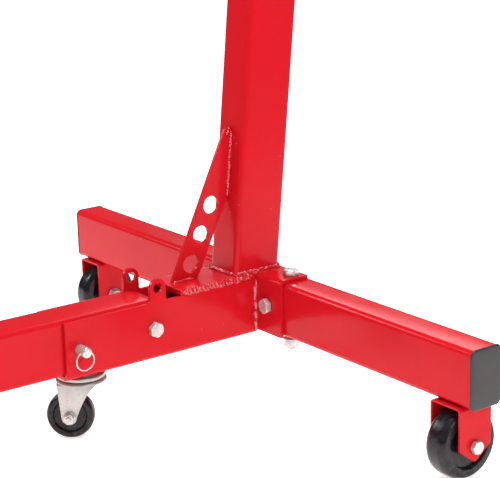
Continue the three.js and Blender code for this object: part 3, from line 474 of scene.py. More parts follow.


# ------------------------------------------------------------------ finishes


# colour that surfaces darken to towards the floor
NEAR_FLOOR_DARK_COLOUR = (0.09, 0.08, 0.07)
# near-white colour of the painted highlight spot
PAINTED_HIGHLIGHT_COLOUR = (0.85, 0.84, 0.82)


@dataclass(frozen=True)
class Coating:
    """A finish of one base colour with a textured skin and marks of handling.

    Sizes of the pattern are in millimetres; heights of the relief are in metres.
    """

    name: str
    colour: Colour
    tint: Colour
    roughness: tuple[float, float]
    metallic: float = 0.0
    coat: float = 0.0
    coat_roughness: float = 0.1
    specular: float = 0.5
    texture: float = 1.6
    grain: float = 0.25
    relief: float = 0.02 * MM
    smear: float = 60.0
    scratches: float = 0.4
    specks: float = 0.0
    # how much darker and rougher the piece gets towards the floor
    near_floor_darkening: float = 0.0
    speck_colour: Colour = (0.75, 0.72, 0.7)
    # place and reach of a painted highlight spot, if any
    painted_highlight: tuple[tuple[float, float, float], float] | None = None

    def material(self, groups: dict[str, bpy.types.NodeTree]) -> bpy.types.Material:
        """Builds the finish as a node material.

        Args:
            groups: The shared shader groups, by name.

        Returns:
            The new material.
        """
        made = bpy.data.materials.new(self.name)
        made.use_nodes = True
        nodes = Nodes(made.node_tree)
        shader = made.node_tree.nodes["Principled BSDF"].inputs
        place = nodes.add("ShaderNodeTexCoord").outputs["Object"]

        def shared(name: str, **values: float) -> bpy.types.NodeOutputs:
            """Adds one shared group, read at the piece's own place, and gives its outputs."""
            tree = groups[name]
            return nodes.add("ShaderNodeGroup", node_tree=tree, Position=place, **values).outputs

        marks = shared("handling", Smear_Size=self.smear, Scratch_Amount=self.scratches)
        # darker and rougher towards the floor, set by height alone
        near_floor_darkening = shared("near_floor_darkening", Amount=self.near_floor_darkening)["Mask"]
        skin = shared("skin", Size=self.texture, Grain=self.grain)["Height"]

        shade = nodes.mix(marks["Smear"], self.colour, self.tint)
        dust = nodes.math("MULTIPLY", marks["Speck"], self.specks)
        shade = nodes.mix(dust, shade, self.speck_colour)
        shade = nodes.mix(near_floor_darkening, shade, NEAR_FLOOR_DARK_COLOUR)
        # painted highlight: a near-white spot mixed into the base colour
        if self.painted_highlight:
            (x, y, z), reach = self.painted_highlight
            painted_highlight = shared("painted_highlight", X=x, Y=y, Z=z, Reach=reach)["Mask"]
            shade = nodes.mix(painted_highlight, shade, PAINTED_HIGHLIGHT_COLOUR)
        nodes.put(shade, shader["Base Color"])

        rough = nodes.add("ShaderNodeMapRange", Value=marks["Smear"])
        for limit, value in zip(("To Min", "To Max"), self.roughness):
            nodes.put(value, rough.inputs[limit])
        dulled = nodes.math("MULTIPLY", marks["Scratch"], 0.25)
        dulled = nodes.math("ADD", nodes.math("MULTIPLY", near_floor_darkening, 0.4), dulled)
        nodes.put(nodes.math("ADD", rough.outputs["Result"], dulled), shader["Roughness"])

        height = nodes.math("ADD", skin, nodes.math("MULTIPLY", marks["Scratch"], -0.6))
        bump = nodes.add("ShaderNodeBump", Strength=1.0, Distance=self.relief, Height=height)
        nodes.put(bump.outputs["Normal"], shader["Normal"])
        for name, value in (
            ("Metallic", self.metallic),
            ("Specular IOR Level", self.specular),
            ("Coat Weight", self.coat),
            ("Coat Roughness", self.coat_roughness),
        ):
            nodes.put(value, shader[name])
        made.diffuse_color = (*self.colour, 1.0)
        return made


BAR_CORNER = span("crossbar")[1]
# place of a painted highlight: a near-white spot near the crossbar's front top edge
PAINTED_HIGHLIGHT_SPOT = (float(BAR_CORNER[0]) - 9.0 * MM, 103.0 * MM, float(BAR_CORNER[2]))

COATINGS = {
    Finish.RED: Coating(
        name="red_powder_coat",
        colour=(0.545, 0.0068, 0.0135),
        tint=(0.515, 0.0062, 0.0125),
        roughness=(0.17, 0.24),
        specular=0.12,
        texture=3.0,
        grain=0.12,
        relief=0.03 * MM,
        smear=90.0,
        scratches=0.04,
        specks=0.4,
        speck_colour=(0.8, 0.35, 0.35),
        painted_highlight=(PAINTED_HIGHLIGHT_SPOT, 2.9 * MM),
    ),
    Finish.WELD: Coating(
        name="red_weld_paint",
        colour=(0.545, 0.0068, 0.0135),
        tint=(0.50, 0.0060, 0.0125),
        roughness=(0.10, 0.18),
        specular=0.9,
        coat=0.6,
        coat_roughness=0.06,
        texture=1.7,
        grain=0.35,
        relief=0.28 * MM,
        smear=12.0,
        scratches=0.0,
    ),
    Finish.CAP: Coating(
        name="cap_plastic",
        colour=(0.032, 0.030, 0.029),
        tint=(0.046, 0.043, 0.041),
        roughness=(0.36, 0.5),
        specular=0.32,
        texture=0.5,
        grain=0.5,
        relief=0.03 * MM,
        smear=40.0,
        scratches=0.4,
        specks=0.15,
    ),
    Finish.WHEEL: Coating(
        name="wheel_black",
        colour=(0.008, 0.007, 0.009),
        tint=(0.016, 0.014, 0.017),
        roughness=(0.13, 0.34),
        specular=0.26,
        texture=2.4,
        grain=0.5,
        relief=0.10 * MM,
        smear=18.0,
        scratches=0.12,
        specks=0.1,
        near_floor_darkening=0.4,
    ),
    Finish.FASTENER: Coating(
        name="zinc_fastener",
        colour=(0.62, 0.61, 0.59),
        tint=(0.44, 0.44, 0.44),
        roughness=(0.18, 0.36),
        metallic=0.55,
        texture=0.9,
        grain=0.6,
        relief=0.03 * MM,
        smear=7.0,
        scratches=0.2,
    ),
    Finish.CASTER: Coating(
        name="zinc_pressing",
        colour=(0.45, 0.44, 0.42),
        tint=(0.38, 0.37, 0.355),
        roughness=(0.26, 0.38),
        metallic=0.6,
        texture=1.4,
        grain=0.5,
        relief=0.015 * MM,
        smear=30.0,
        scratches=0.1,
        near_floor_darkening=0.04,
    ),
    Finish.CHROME: Coating(
        name="chrome_rod",
        colour=(0.80, 0.80, 0.81),
        tint=(0.70, 0.70, 0.72),
        roughness=(0.06, 0.14),
        metallic=1.0,
        texture=0.4,
        relief=0.004 * MM,
        smear=20.0,
        scratches=0.4,
    ),
    Finish.BLACK: Coating(
        name="black_paint",
        colour=(0.018, 0.018, 0.019),
        tint=(0.035, 0.034, 0.034),
        roughness=(0.24, 0.4),
        coat=0.2,
        texture=1.8,
        relief=0.04 * MM,
        smear=50.0,
        scratches=0.6,
        specks=0.1,
    ),
}


class Yard:
    """Puts finished pieces on their bodies, with their finish, and reports them."""

    def __init__(self) -> None:
        """Builds the shared shader groups and every finish."""
        groups = {
            "skin": skin_texture_group(),
            "handling": handling_group(),
            "near_floor_darkening": darker_near_floor_group(),
            "painted_highlight": painted_highlight_group(),
        }
        self.finishes = {finish: coating.material(groups) for finish, coating in COATINGS.items()}

    def place(self, piece: Piece, body: str, finish: Finish, *nodes: str) -> Piece:
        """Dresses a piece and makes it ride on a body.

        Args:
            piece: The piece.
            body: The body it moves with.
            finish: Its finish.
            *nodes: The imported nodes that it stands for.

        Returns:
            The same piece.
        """
        piece.data.materials.clear()
        piece.data.materials.append(self.finishes[finish])
        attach(piece, body)
        if nodes:
            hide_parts(*nodes)
        log.info("%s rides on %s", piece.name, body)
        return piece


# ------------------------------------------------------------------ plate and tube work


ROUNDED = {
    Finish.RED: {
        "crossbar": 0.6, "front_crossbar": 0.6, "mast": 0.6, "leg": 0.6,
        "boom_outer": 0.5, "boom_inner": 0.5, "saddle": 1.6, "front_saddle": 1.6,
        "leg_channel": 1.1, "deck_plate": 0.8, "mast_gusset": 0.9,
        "wheel_bracket_left": 0.9, "wheel_bracket_right": 0.9, "mast_cheek_left": 0.8,
        "mast_cheek_right": 0.8, "ram_foot_bracket": 0.8, "ram_head_bracket": 0.8,
        "pump_lever": 0.6,
    },
    Finish.BLACK: {"ram_body": 1.2},
    Finish.FASTENER: {
        "hook_clevis": 0.8, "hook_latch": 0.3, "boom_clamp_screw": 0.6, "release_valve": 0.5,
        "pump_handle": 0.4,
    },
    Finish.CHROME: {"ram_rod": 1.0, "pump_plunger": 0.4},
}


@dataclass(frozen=True)
class PlateWork:
    """The tubes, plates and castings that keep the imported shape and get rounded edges.

    For each finish it has a table of nodes with the radius of their edges in millimetres.
    """

    edges: dict[Finish, dict[str, float]] = field(default_factory=lambda: ROUNDED)

    def build(self, yard: Yard) -> None:
        """Makes every skin and puts it on its body."""
        for finish, table in self.edges.items():
            for node, radius in table.items():
                yard.place(refined(node, radius * MM), body_of(node), finish, node)


@dataclass(frozen=True)
class EndCap:
    """A moulded cap in a tube's end: a slightly crowned face with soft edges and a plug."""

    node: str
    corner: float = 8.8 * MM
    edge: float = 2.2 * MM
    crown: float = 0.3 * MM
    plug_wall: float = 3.4 * MM
    face: float = 3.0 * MM
    least_corner: float = 0.4 * MM

    def build(self, yard: Yard) -> Piece:
        """Builds the cap as rings of a rounded rectangle, each with its own inset and height.

        Returns:
            The cap.
        """
        low, high = span(self.node)
        middle = (low + high) / 2.0
        outward = 1.0 if middle[1] > 0.0 else -1.0
        width, height = high[0] - low[0], high[2] - low[2]
        outer = high[1] if outward > 0.0 else low[1]
        inner = low[1] if outward > 0.0 else high[1]
        turn = np.radians(np.linspace(0.0, 90.0, 6))
        rings = np.concatenate([
            [(0.47 * width, -self.crown), (0.3 * width, -0.8 * self.crown), (4.0 * self.edge, 0.0)],
            np.stack([self.edge * (1.0 - np.sin(turn)), self.edge * (1.0 - np.cos(turn))], -1),
            [(0.0, self.face), (self.plug_wall, self.face + TINY)],
            [(self.plug_wall, abs(outer - inner))],
        ])
        rows = []
        for inset, depth in rings:
            radius = max(self.corner - inset, self.least_corner)
            flat = rounded_rectangle(width - 2.0 * inset, height - 2.0 * inset, radius)
            y = np.full(len(flat), outer - outward * (depth + self.crown))
            rows.append(np.stack([middle[0] + flat[:, 0], y, middle[2] + flat[:, 1]], axis=-1))
        piece = surface(f"{self.node}_moulding", np.array(rows))
        return yard.place(piece, body_of(self.node), Finish.CAP, self.node)


# ------------------------------------------------------------------ fasteners


@dataclass(frozen=True)
class BoltSize:
    """The standard sizes of one bolt, its washer and its nut."""

    diameter: float
    across: float
    head: float
    nut: float
    washer: float
    washer_plate: float
    pitch: float


M16 = BoltSize(16 * MM, 24 * MM, 10 * MM, 13 * MM, 30 * MM, 3 * MM, 2 * MM)
M12 = BoltSize(12 * MM, 19 * MM, 7.5 * MM, 10 * MM, 24 * MM, 2.5 * MM, 1.75 * MM)
M10 = BoltSize(10 * MM, 16 * MM, 6.4 * MM, 8 * MM, 20 * MM, 2 * MM, 1.5 * MM)
M8 = BoltSize(8 * MM, 13 * MM, 5.3 * MM, 6.5 * MM, 16 * MM, 1.6 * MM, 1.25 * MM)


ROUND, HEXAGON, THREAD = range(3)  # kinds of row on a bolt


@dataclass(frozen=True)
class Bolt:
    """A hexagon bolt with its washer and nut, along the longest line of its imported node.

    Each row of the surface has a round radius; on the head and the nut it is cut down to the
    hexagon's, so the corners of a hexagon fade into the turned chamfer as they do on a real one.
    On the thread the radius follows a saw of the height and the angle, which makes a helix.
    """

    node: str
    size: BoltSize
    head: tuple[float, float, float]
    spin: float = 0.0
    sides: int = 60
    tail: float = 3.0 * MM
    thread_depth: float = 0.55  # of the pitch

    def build(self, yard: Yard) -> Piece:
        """Builds the bolt and puts it in its node's place.

        Returns:
            The bolt.
        """
        low, high = span(self.node)
        x, y, z = axes_along(self.head)
        heights = (vertices(self.node) - (low + high) / 2.0) @ z
        table = self._profile(float(heights.max()), float(heights.min()))
        height, radius, kind = (table[:, i][:, None] for i in range(3))

        pitch = self.size.pitch
        angle = np.linspace(0.0, TURN, self.sides, endpoint=False)[None, :]
        sixth = np.mod(angle + self.spin, TURN / 6.0) - TURN / 12.0
        hexagon = (self.size.across / 2.0) / np.cos(sixth)
        saw = np.abs(np.mod(height / pitch - angle / TURN, 1.0) - 0.5) * 2.0
        shape = np.where(kind == HEXAGON, np.minimum(radius, hexagon), radius)
        shape = np.where(kind == THREAD, radius - self.thread_depth * pitch * saw, shape)
        circle = np.cos(angle)[..., None] * x + np.sin(angle)[..., None] * y
        rows = (low + high) / 2.0 + shape[:, :, None] * circle + height[:, :, None] * z
        piece = surface(f"{self.node}_zinc", rows)
        return yard.place(piece, body_of(self.node), Finish.FASTENER, self.node)

    def _profile(self, top: float, bottom: float) -> np.ndarray:
        """The rows from the head to the thread's end, as (height, radius, kind).

        Args:
            top: The height of the head's face.
            bottom: The height of the thread's end.

        Returns:
            The rows.
        """
        size = self.size
        shaft, rim = size.diameter / 2.0, size.washer / 2.0
        corner, flat = size.across / math.sqrt(3.0), 0.475 * size.across
        drop = (corner - flat) * math.tan(math.radians(30.0))
        head_from = top - size.head
        nut_from = bottom + self.tail
        nut_to = nut_from + size.nut
        washer_to = nut_to + size.washer_plate

        def chamfer(start: float, way: float, steps: int) -> list[tuple[float, float, int]]:
            """Rows along the turned chamfer, from a flat face out to the corners."""
            parts = [k / steps for k in range(1, steps + 1)]
            return [(start + way * drop * s, flat + (corner - flat) * s, HEXAGON) for s in parts]

        turns = max(int((nut_from - bottom) / size.pitch * 7), 4)
        thread = np.linspace(nut_from, bottom + 0.4 * MM, turns)[1:]
        return np.array([
            (top, 0.0, ROUND), (top, 0.9 * flat, HEXAGON), (top - 0.05 * MM, flat, HEXAGON),
            *chamfer(top, -1.0, 5),
            (head_from + 0.5 * MM, corner, HEXAGON), (head_from + 0.4 * MM, flat, HEXAGON),
            (head_from, flat - 0.2 * MM, ROUND), (head_from, shaft, ROUND),
            (washer_to, shaft, ROUND), (washer_to, rim - 0.4 * MM, ROUND),
            (washer_to - 0.3 * MM, rim, ROUND), (nut_to + 0.3 * MM, rim, ROUND),
            (nut_to, rim - 0.4 * MM, ROUND), (nut_to, flat, HEXAGON),
            *chamfer(nut_to, -1.0, 4),
            *chamfer(nut_from, 1.0, 4)[::-1],
            (nut_from, flat, HEXAGON), (nut_from, shaft, THREAD),
            *[(z, shaft, THREAD) for z in thread],
            (bottom, shaft - 0.8 * MM, ROUND), (bottom, 0.0, ROUND),
        ])


@dataclass(frozen=True)
class LockPin:
    """The chamfered lock pin and the wire ring through its cross hole."""

    wire: float = 1.0 * MM
    chamfer: float = 1.2 * MM

    def build(self, yard: Yard) -> None:
        """Builds the pin and its ring."""
        low, high = span("lock_pin")
        radius = (high[0] - low[0]) / 2.0
        length = high[1] - low[1]
        soft = 0.3 * MM
        nose = np.array([
            (0.0, 0.0), (radius - self.chamfer - soft, 0.0), (radius - self.chamfer, 0.08 * MM),
            (radius - 0.1 * MM, self.chamfer), (radius, self.chamfer + soft),
        ])
        far = np.stack([nose[::-1, 0], length - nose[::-1, 1]], axis=-1)
        base = np.array([(low[0] + high[0]) / 2.0, low[1], (low[2] + high[2]) / 2.0])
        pin = turned("lock_pin_zinc", np.concatenate([nose, far]), base, np.array([0.0, 1.0, 0.0]))
        yard.place(pin, "lock_pin", Finish.FASTENER, "lock_pin")

        low, high = span("lock_pin_ring")
        centre = (low + high) / 2.0
        reach = (high[2] - low[2]) / 2.0 - self.wire
        turn = np.linspace(0.0, TURN, 96, endpoint=False)
        path = centre + reach * np.stack([np.sin(turn), np.zeros_like(turn), np.cos(turn)], axis=-1)
        ring = swept("lock_pin_ring_wire", path, np.full((len(turn), 14), self.wire), ring=True)
        yard.place(ring, "lock_pin_ring", Finish.FASTENER, "lock_pin_ring")


# ------------------------------------------------------------------ wheels and casters


@dataclass(frozen=True)
class Wheel:
    """A hard wheel: a crowned tread with a faint mould line, recessed sides and a raised hub.

    The hub, the bore and the rim are given by their diameters.
    """

    node: str
    joint: str
    radius: float
    width: float
    hub_width: float
    hub: float
    bore: float
    rim: float
    recess: float
    crown: float
    groove: float = 0.25 * MM
    groove_width: float = 1.2 * MM
    mould_line: float = 0.45 * MM

    def side(self) -> np.ndarray:
        """The outline of one side, from the bore to the tread's edge, as (radius, height)."""
        half, hub, rim = self.width / 2.0, self.hub / 2.0, self.rim / 2.0
        bore, end = self.bore / 2.0, self.hub_width / 2.0
        floor = half - self.recess
        return np.concatenate([
            [(bore, end - 0.4 * MM)],
            arc((bore + 0.4 * MM, end - 0.4 * MM), 0.4 * MM, 180, 90, 3),
            arc((hub - 1.0 * MM, end - 1.0 * MM), 1.0 * MM, 90, 0, 5),
            arc((hub + 1.6 * MM, floor + 1.4 * MM), 1.4 * MM, 180, 270, 5),
            arc((rim - 1.6 * MM, floor + 1.4 * MM), 1.4 * MM, 270, 340, 5),
            arc((rim + 2.0 * MM, half - 1.4 * MM), 1.4 * MM, 160, 90, 4),
        ])

    def build(self, yard: Yard) -> Piece:
        """Turns the wheel's outline about its axle.

        The tread falls off from its middle as the fourth power of the distance from there. A
        shallow bell-shaped groove runs round its middle, with the mould line standing in it.

        Returns:
            The wheel.
        """
        low, high = span(self.node)
        across = np.linspace(1.0, -1.0, 33)
        reach = self.radius - self.crown * np.abs(across) ** 4.0
        away = across * self.width / self.groove_width
        reach = reach - self.groove * np.exp(-(away**2.0))
        reach[len(across) // 2] += self.mould_line
        tread = np.stack([np.minimum(reach, self.radius), across * self.width / 2.0], axis=-1)
        side = self.side()
        far = side[::-1] * np.array([1.0, -1.0])
        profile = np.concatenate([side, tread[1:-1], far])
        centre, axis = (low + high) / 2.0, joint_axis(self.joint)
        piece = turned(f"{self.node}_tyre", profile, centre, axis, sides=112, ring=True)
        return yard.place(piece, body_of(self.node), Finish.WHEEL, self.node)


@dataclass(frozen=True)
class Caster:
    """The pressed steel of one swivel caster: a fixed top with its raceway, and the fork."""

    name: str
    seat: float = 24.0 * MM
    ring: float = 32.0 * MM
    ring_from: float = 86.0 * MM
    ring_to: float = 91.0 * MM
    crown: float = 33.9 * MM
    crown_top: float = 84.5 * MM
    sheet: float = 2.5 * MM
    half_gap: float = 14.0 * MM
    trail: float = 16.0 * MM
    axle: float = 32.0 * MM
    eye: float = 10.3 * MM
    back: float = 31.0 * MM
    front: float = 21.0 * MM
    flare: float = 9.0 * MM
    bore: float = 5.5 * MM
    bend: float = 7.0 * MM
    lip: float = 1.1 * MM

    def build(self, yard: Yard) -> None:
        """Builds the fixed top and the fork."""
        centre = joint_place(f"{self.name}_swivel") * np.array([1.0, 1.0, 0.0])
        self._top(yard, centre)
        self._fork(yard, centre)

    def _top(self, yard: Yard, centre: np.ndarray) -> None:
        """Turns the seat, the raceway ring and the riveted kingpin."""
        node = f"{self.name}_mount"
        height = span(node)[1][2]
        rivet = self.crown_top - self.sheet - FIT
        profile = np.concatenate([
            [(0.0, height), (self.seat, height), (self.seat, self.ring_to + 0.8 * MM)],
            arc((self.seat + 1.2 * MM, self.ring_to + 1.0 * MM), 1.0 * MM, 180, 270, 4),
            arc((self.ring - 1.4 * MM, self.ring_to - 1.4 * MM), 1.4 * MM, 90, 0, 5),
            arc((self.ring - 1.0 * MM, self.ring_from + 1.0 * MM), 1.0 * MM, 0, -90, 4),
            [(12.0 * MM, self.ring_from), (5.0 * MM, self.ring_from - TINY), (5.0 * MM, rivet)],
            arc((7.0 * MM, rivet - 1.5 * MM), 1.5 * MM, 90, 0, 4),
            [(6.0 * MM, rivet - 3.6 * MM), (0.0, rivet - 4.0 * MM)],
        ])
        piece = turned(f"{node}_pressing", profile, centre, UP)
        yard.place(piece, body_of(node), Finish.CASTER, node)

    def _fork(self, yard: Yard, centre: np.ndarray) -> None:
        """Builds the dished crown, with a leg pressed down from it on each side.

        A leg is a sheet on a grid. Down its length it first curves out from the crown and over,
        by a quarter circle, and then hangs to the axle. Its trailing edge is a straight line to
        the eye's side; its leading edge is another, with a flare under the crown that dies away
        as the fourth power of the height. Below the axle the edges are the eye's own circle. The
        sheet's two edges curl out by the sixth power of the distance from its middle.
        """
        node = f"{self.name}_fork"
        heading = joint_axis(f"{self.name}_spin")
        across = heading * np.array([1.0, 1.0, 0.0])
        forward = np.array([across[1], -across[0], 0.0])
        axle_side = joint_place(f"{self.name}_spin") - centre
        forward = forward if forward @ axle_side < 0.0 else -forward

        under = self.crown_top - self.sheet
        edge, top = self.crown, self.crown_top
        dish = np.concatenate([
            [(self.bore, top - 0.2 * MM), (self.bore + 0.2 * MM, top)],
            [(edge - 5.0 * MM, top), (edge - 2.4 * MM, top - 0.5 * MM)],
            arc((edge - 1.5 * MM, top - 2.6 * MM), 1.5 * MM, 70, -70, 7),
            [(edge - 4.0 * MM, under - 1.6 * MM), (edge - 6.5 * MM, under), (self.bore, under)],
        ])
        pieces = [turned(f"{node}_crown", dish, centre, UP, ring=True)]
        for label, sign in (("near", 1.0), ("far", -1.0)):
            pieces.append(self._leg(f"{node}_{label}", centre, forward, sign * across))
        for piece in pieces:
            yard.place(piece, body_of(node), Finish.CASTER)
        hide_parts(node)

    def _leg(
        self, name: str, centre: np.ndarray, forward: np.ndarray, outward: np.ndarray
    ) -> Piece:
        """One pressed leg of the fork.

        Args:
            name: The piece's name.
            centre: The swivel axis at floor level.
            forward: The direction away from the trailing axle.
            outward: The direction from the wheel to this leg.

        Returns:
            The leg.
        """
        thick = self.sheet / 2.0
        top = self.crown_top - 0.4 * MM
        face = self.half_gap + thick
        quarter = np.radians(np.linspace(0.0, 90.0, 8))
        out = face - self.bend + self.bend * np.sin(quarter)
        down = top - thick - self.bend * (1.0 - np.cos(quarter))
        hang = np.linspace(down[-1], self.axle, 22)[1:]
        round_end = self.axle - self.eye * np.sin(np.radians(np.linspace(6.0, 88.0, 12)))
        heights = np.concatenate([down, hang, round_end])
        outs = np.concatenate([out, np.full(len(hang) + len(round_end), face)])

        fall = np.clip((top - heights) / (top - self.axle), 0.0, 1.0)
        low_part = heights < self.axle
        rest = np.sqrt(np.maximum(self.eye**2 - (self.axle - heights) ** 2, 1e-10))
        behind = -self.back + (self.back - self.trail - self.eye) * fall
        ahead = self.front + (self.eye - self.trail - self.front) * fall**0.8
        ahead = ahead + self.flare * (1.0 - fall) ** 4.0
        behind = np.where(low_part, -self.trail - rest, behind)
        ahead = np.where(low_part, -self.trail + rest, ahead)
        side = np.linspace(-1.0, 1.0, 15)
        along = (ahead + behind)[:, None] / 2.0 + (ahead - behind)[:, None] / 2.0 * side
        proud = outs[:, None] + self.lip * np.abs(side) ** 6.0 * (1.0 - fall)[:, None]
        faces = []
        for step in (thick, -thick):
            sheet = centre + along[:, :, None] * forward + (proud + step)[:, :, None] * outward
            sheet[:, :, 2] = heights[:, None]
            faces.append(sheet)
        piece = surface(name, np.concatenate([faces[0], faces[1][:, ::-1]], axis=1))
        round_edges(piece, 0.5 * MM, math.radians(50.0), harden=False)
        return piece


# ------------------------------------------------------------------ welds


@dataclass(frozen=True)
class Bead:
    """One way of laying weld: its radius, the length of a ripple and how deep the ripples are."""

    radius: float = 3.4 * MM
    pitch: float = 3.6 * MM
    ripple: float = 0.17


MAST_HALF_DEPTH = 38.5 * MM
DECK_BEAD = Bead(4.4 * MM, 5.4 * MM, 0.42)
SADDLE_BEAD = Bead(4.4 * MM, 5.6 * MM, 0.42)
CHANNEL_BEAD = Bead(4.2 * MM, 7.0 * MM, 0.05)
MAST_BEAD = Bead(4.0 * MM, 5.0 * MM, 0.34)
GUSSET_BEAD = Bead(2.8 * MM, 4.4 * MM, 0.3)
TIP_BEAD = Bead(2.6 * MM, 4.4 * MM, 0.3)
THIN_BEAD = Bead(2.4 * MM)


@dataclass(frozen=True)
class Weld:
    """A hand-laid bead along a seam, painted over.

    The bead's radius swells once for each run of the torch, with the swell trailing back at its
    sides so that each ripple is a crescent, and wanders slowly along its length.
    """

    name: str
    body: str
    points: Sequence[Sequence[float]]
    bead: Bead
    seed: int
    ring: bool = False
    wander: float = 0.5 * MM
    step: float = 0.75 * MM

    def build(self, yard: Yard) -> Piece:
        """Lays the bead.

        Returns:
            The bead.
        """
        corner = np.array(self.points)
        if self.ring:
            corner = np.concatenate([corner, corner[:1]])
        steps = np.linalg.norm(np.diff(corner, axis=0), axis=1)
        far = np.concatenate([[0.0], np.cumsum(steps)])
        length = far[-1]
        along = np.linspace(0.0, length, max(int(length / self.step), 12), endpoint=not self.ring)
        path = np.stack([np.interp(along, far, corner[:, i]) for i in range(3)], axis=-1)
        rng = np.random.default_rng(self.seed)
        spread = np.stack([self._drift(along, length, rng) for _ in range(3)], axis=-1)
        path = path + self.wander * spread
        bead = self.bead
        angle = np.linspace(0.0, TURN, 16, endpoint=False)
        trail = along[:, None] + 0.45 * bead.radius * np.cos(2.0 * angle)[None, :]
        jitter = 0.35 * self._drift(along, length, rng)[:, None]
        swell = np.abs(np.sin(math.pi * (trail / bead.pitch + jitter))) ** 0.7
        lump = self._drift(along, length, rng)[:, None]
        radius = bead.radius * (0.95 - bead.ripple / 2.0 + bead.ripple * swell + 0.10 * lump)
        if not self.ring:
            from_end = np.minimum(along, length - along) / (1.4 * bead.radius)
            radius = radius * np.sqrt(np.clip(from_end, 0.02, 1.0))[:, None]
        return yard.place(swept(self.name, path, radius, self.ring), self.body, Finish.WELD)

    @staticmethod
    def _drift(along: np.ndarray, length: float, rng: np.random.Generator) -> np.ndarray:
        """A smooth wandering value between about -1 and 1: a sum of five waves of chance phase."""
        waves = np.arange(1, 6)
        turns = np.maximum(np.round(length / (0.03 * waves**-0.9 + 0.006)), 1.0)
        phase = rng.uniform(0.0, TURN, 5)
        scale = rng.uniform(0.3, 1.0, 5) / 2.2
        return (scale * np.sin(TURN * turns * along[:, None] / length + phase)).sum(axis=1)


def base_welds(deck_top: float) -> list[Weld]:
    """The beads along the deck plate, the saddle's shoulders and the channel's end."""
    deck_low, deck_high = span("deck_plate")
    floor = span("leg_channel")[0][2]
    face = span("saddle")[1][0]
    middle = (deck_low[2] + deck_high[2]) / 2.0
    welds = []
    for label, side, seed in (("left", deck_high[1], 3), ("right", deck_low[1], 5)):
        inward = -math.copysign(1.0 * MM, side)
        seam = (
            (deck_high[0] - 3 * MM, side + inward, middle - 0.5 * MM),
            (deck_low[0] + 22 * MM, side + inward, middle),
            (deck_low[0] + 4 * MM, side + inward, middle + 2.5 * MM),
        )
        ledge = (
            (deck_low[0] + 2 * MM, side + 7.0 * inward, deck_top + 0.6 * MM),
            (deck_low[0] - 14 * MM, side + 5.0 * inward, deck_top - 1.5 * MM),
        )
        corner = (
            (face + 0.8 * MM, side, floor + 3 * MM), (face + 0.8 * MM, side, deck_top - 10 * MM)
        )
        welds += [
            Weld(f"deck_weld_{label}", "frame", seam, DECK_BEAD, seed),
            Weld(f"saddle_weld_{label}", "frame", ledge, SADDLE_BEAD, seed + 30),
            Weld(f"channel_weld_{label}", "frame", corner, CHANNEL_BEAD, seed + 10),
        ]
    x, z = face + 0.4 * MM, floor + 1.2 * MM
    under = ((x, deck_low[1] + 6 * MM, z), (x, deck_high[1] - 6 * MM, z))
    return [*welds, Weld("channel_weld_under", "frame", under, Bead(2.2 * MM), 17)]


def mast_frame() -> tuple[np.ndarray, np.ndarray, np.ndarray]:
    """The leaning mast's foot on its axis, its own forward direction and its upward direction."""
    points = vertices("mast")
    bottom = span("mast")[0][2]
    foot = points[points[:, 2] < bottom + 0.5 * MM]
    base = np.array([(foot[:, 0].min() + foot[:, 0].max()) / 2.0, 0.0, bottom])
    up = joint_place("boom_lift") - base
    up /= np.linalg.norm(up)
    return base, np.array([up[2], 0.0, -up[0]]), up


def mast_welds(deck_top: float) -> list[Weld]:
    """The beads round the mast's foot and along the gusset."""
    base, _, up = mast_frame()
    low, high = span("mast")
    half_x = MAST_HALF_DEPTH / up[2]
    ring = rounded_rectangle(2.0 * half_x, high[1] - low[1], 8.0 * MM, 5)
    foot = [(base[0] + x, y, deck_top + 0.8 * MM) for x, y in ring]
    plate_high = span("mast_gusset")[1]
    half, top = plate_high[1], plate_high[2]

    def on_face(z: float, out: float = 1.0 * MM) -> float:
        """The x of the mast's front face at a height, plus a small step out."""
        return base[0] + half_x + (z - base[2]) * up[0] / up[2] + out

    tip = (
        (on_face(top, 9 * MM), 0.6 * half, top - 9 * MM),
        (on_face(top, 4 * MM), 0.0, top - 0.5 * MM),
        (on_face(top), -0.8 * half, top - 1.5 * MM),
    )
    welds = [
        Weld("mast_foot_weld", "frame", foot, MAST_BEAD, 21, ring=True),
        Weld("gusset_tip_weld", "frame", tip, TIP_BEAD, 35),
    ]
    for label, side, seed in (("left", half, 31), ("right", -half, 33)):
        edge = [(on_face(z), side, z) for z in np.linspace(top - 3 * MM, top - 93 * MM, 5)]
        toe = [(plate_high[0] - x, side, deck_top + 0.6 * MM) for x in (1 * MM, 39 * MM)]
        welds += [
            Weld(f"gusset_mast_weld_{label}", "frame", edge, GUSSET_BEAD, seed),
            Weld(f"gusset_foot_weld_{label}", "frame", toe, Bead(2.9 * MM), seed + 1),
        ]
    return welds


def leg_end_weld() -> Weld:
    """The bead round the leg's end, where it meets the front saddle."""
    low, high = span("leg")
    front = span("front_saddle")[0][0]
    ring = rounded_rectangle(high[1] - low[1], high[2] - low[2], 6.0 * MM, 4)
    loop = [(front - 0.5 * MM, y, (low[2] + high[2]) / 2.0 + z) for y, z in ring]
    return Weld("leg_end_weld", "folding_leg", loop, Bead(3.0 * MM), 41, ring=True)


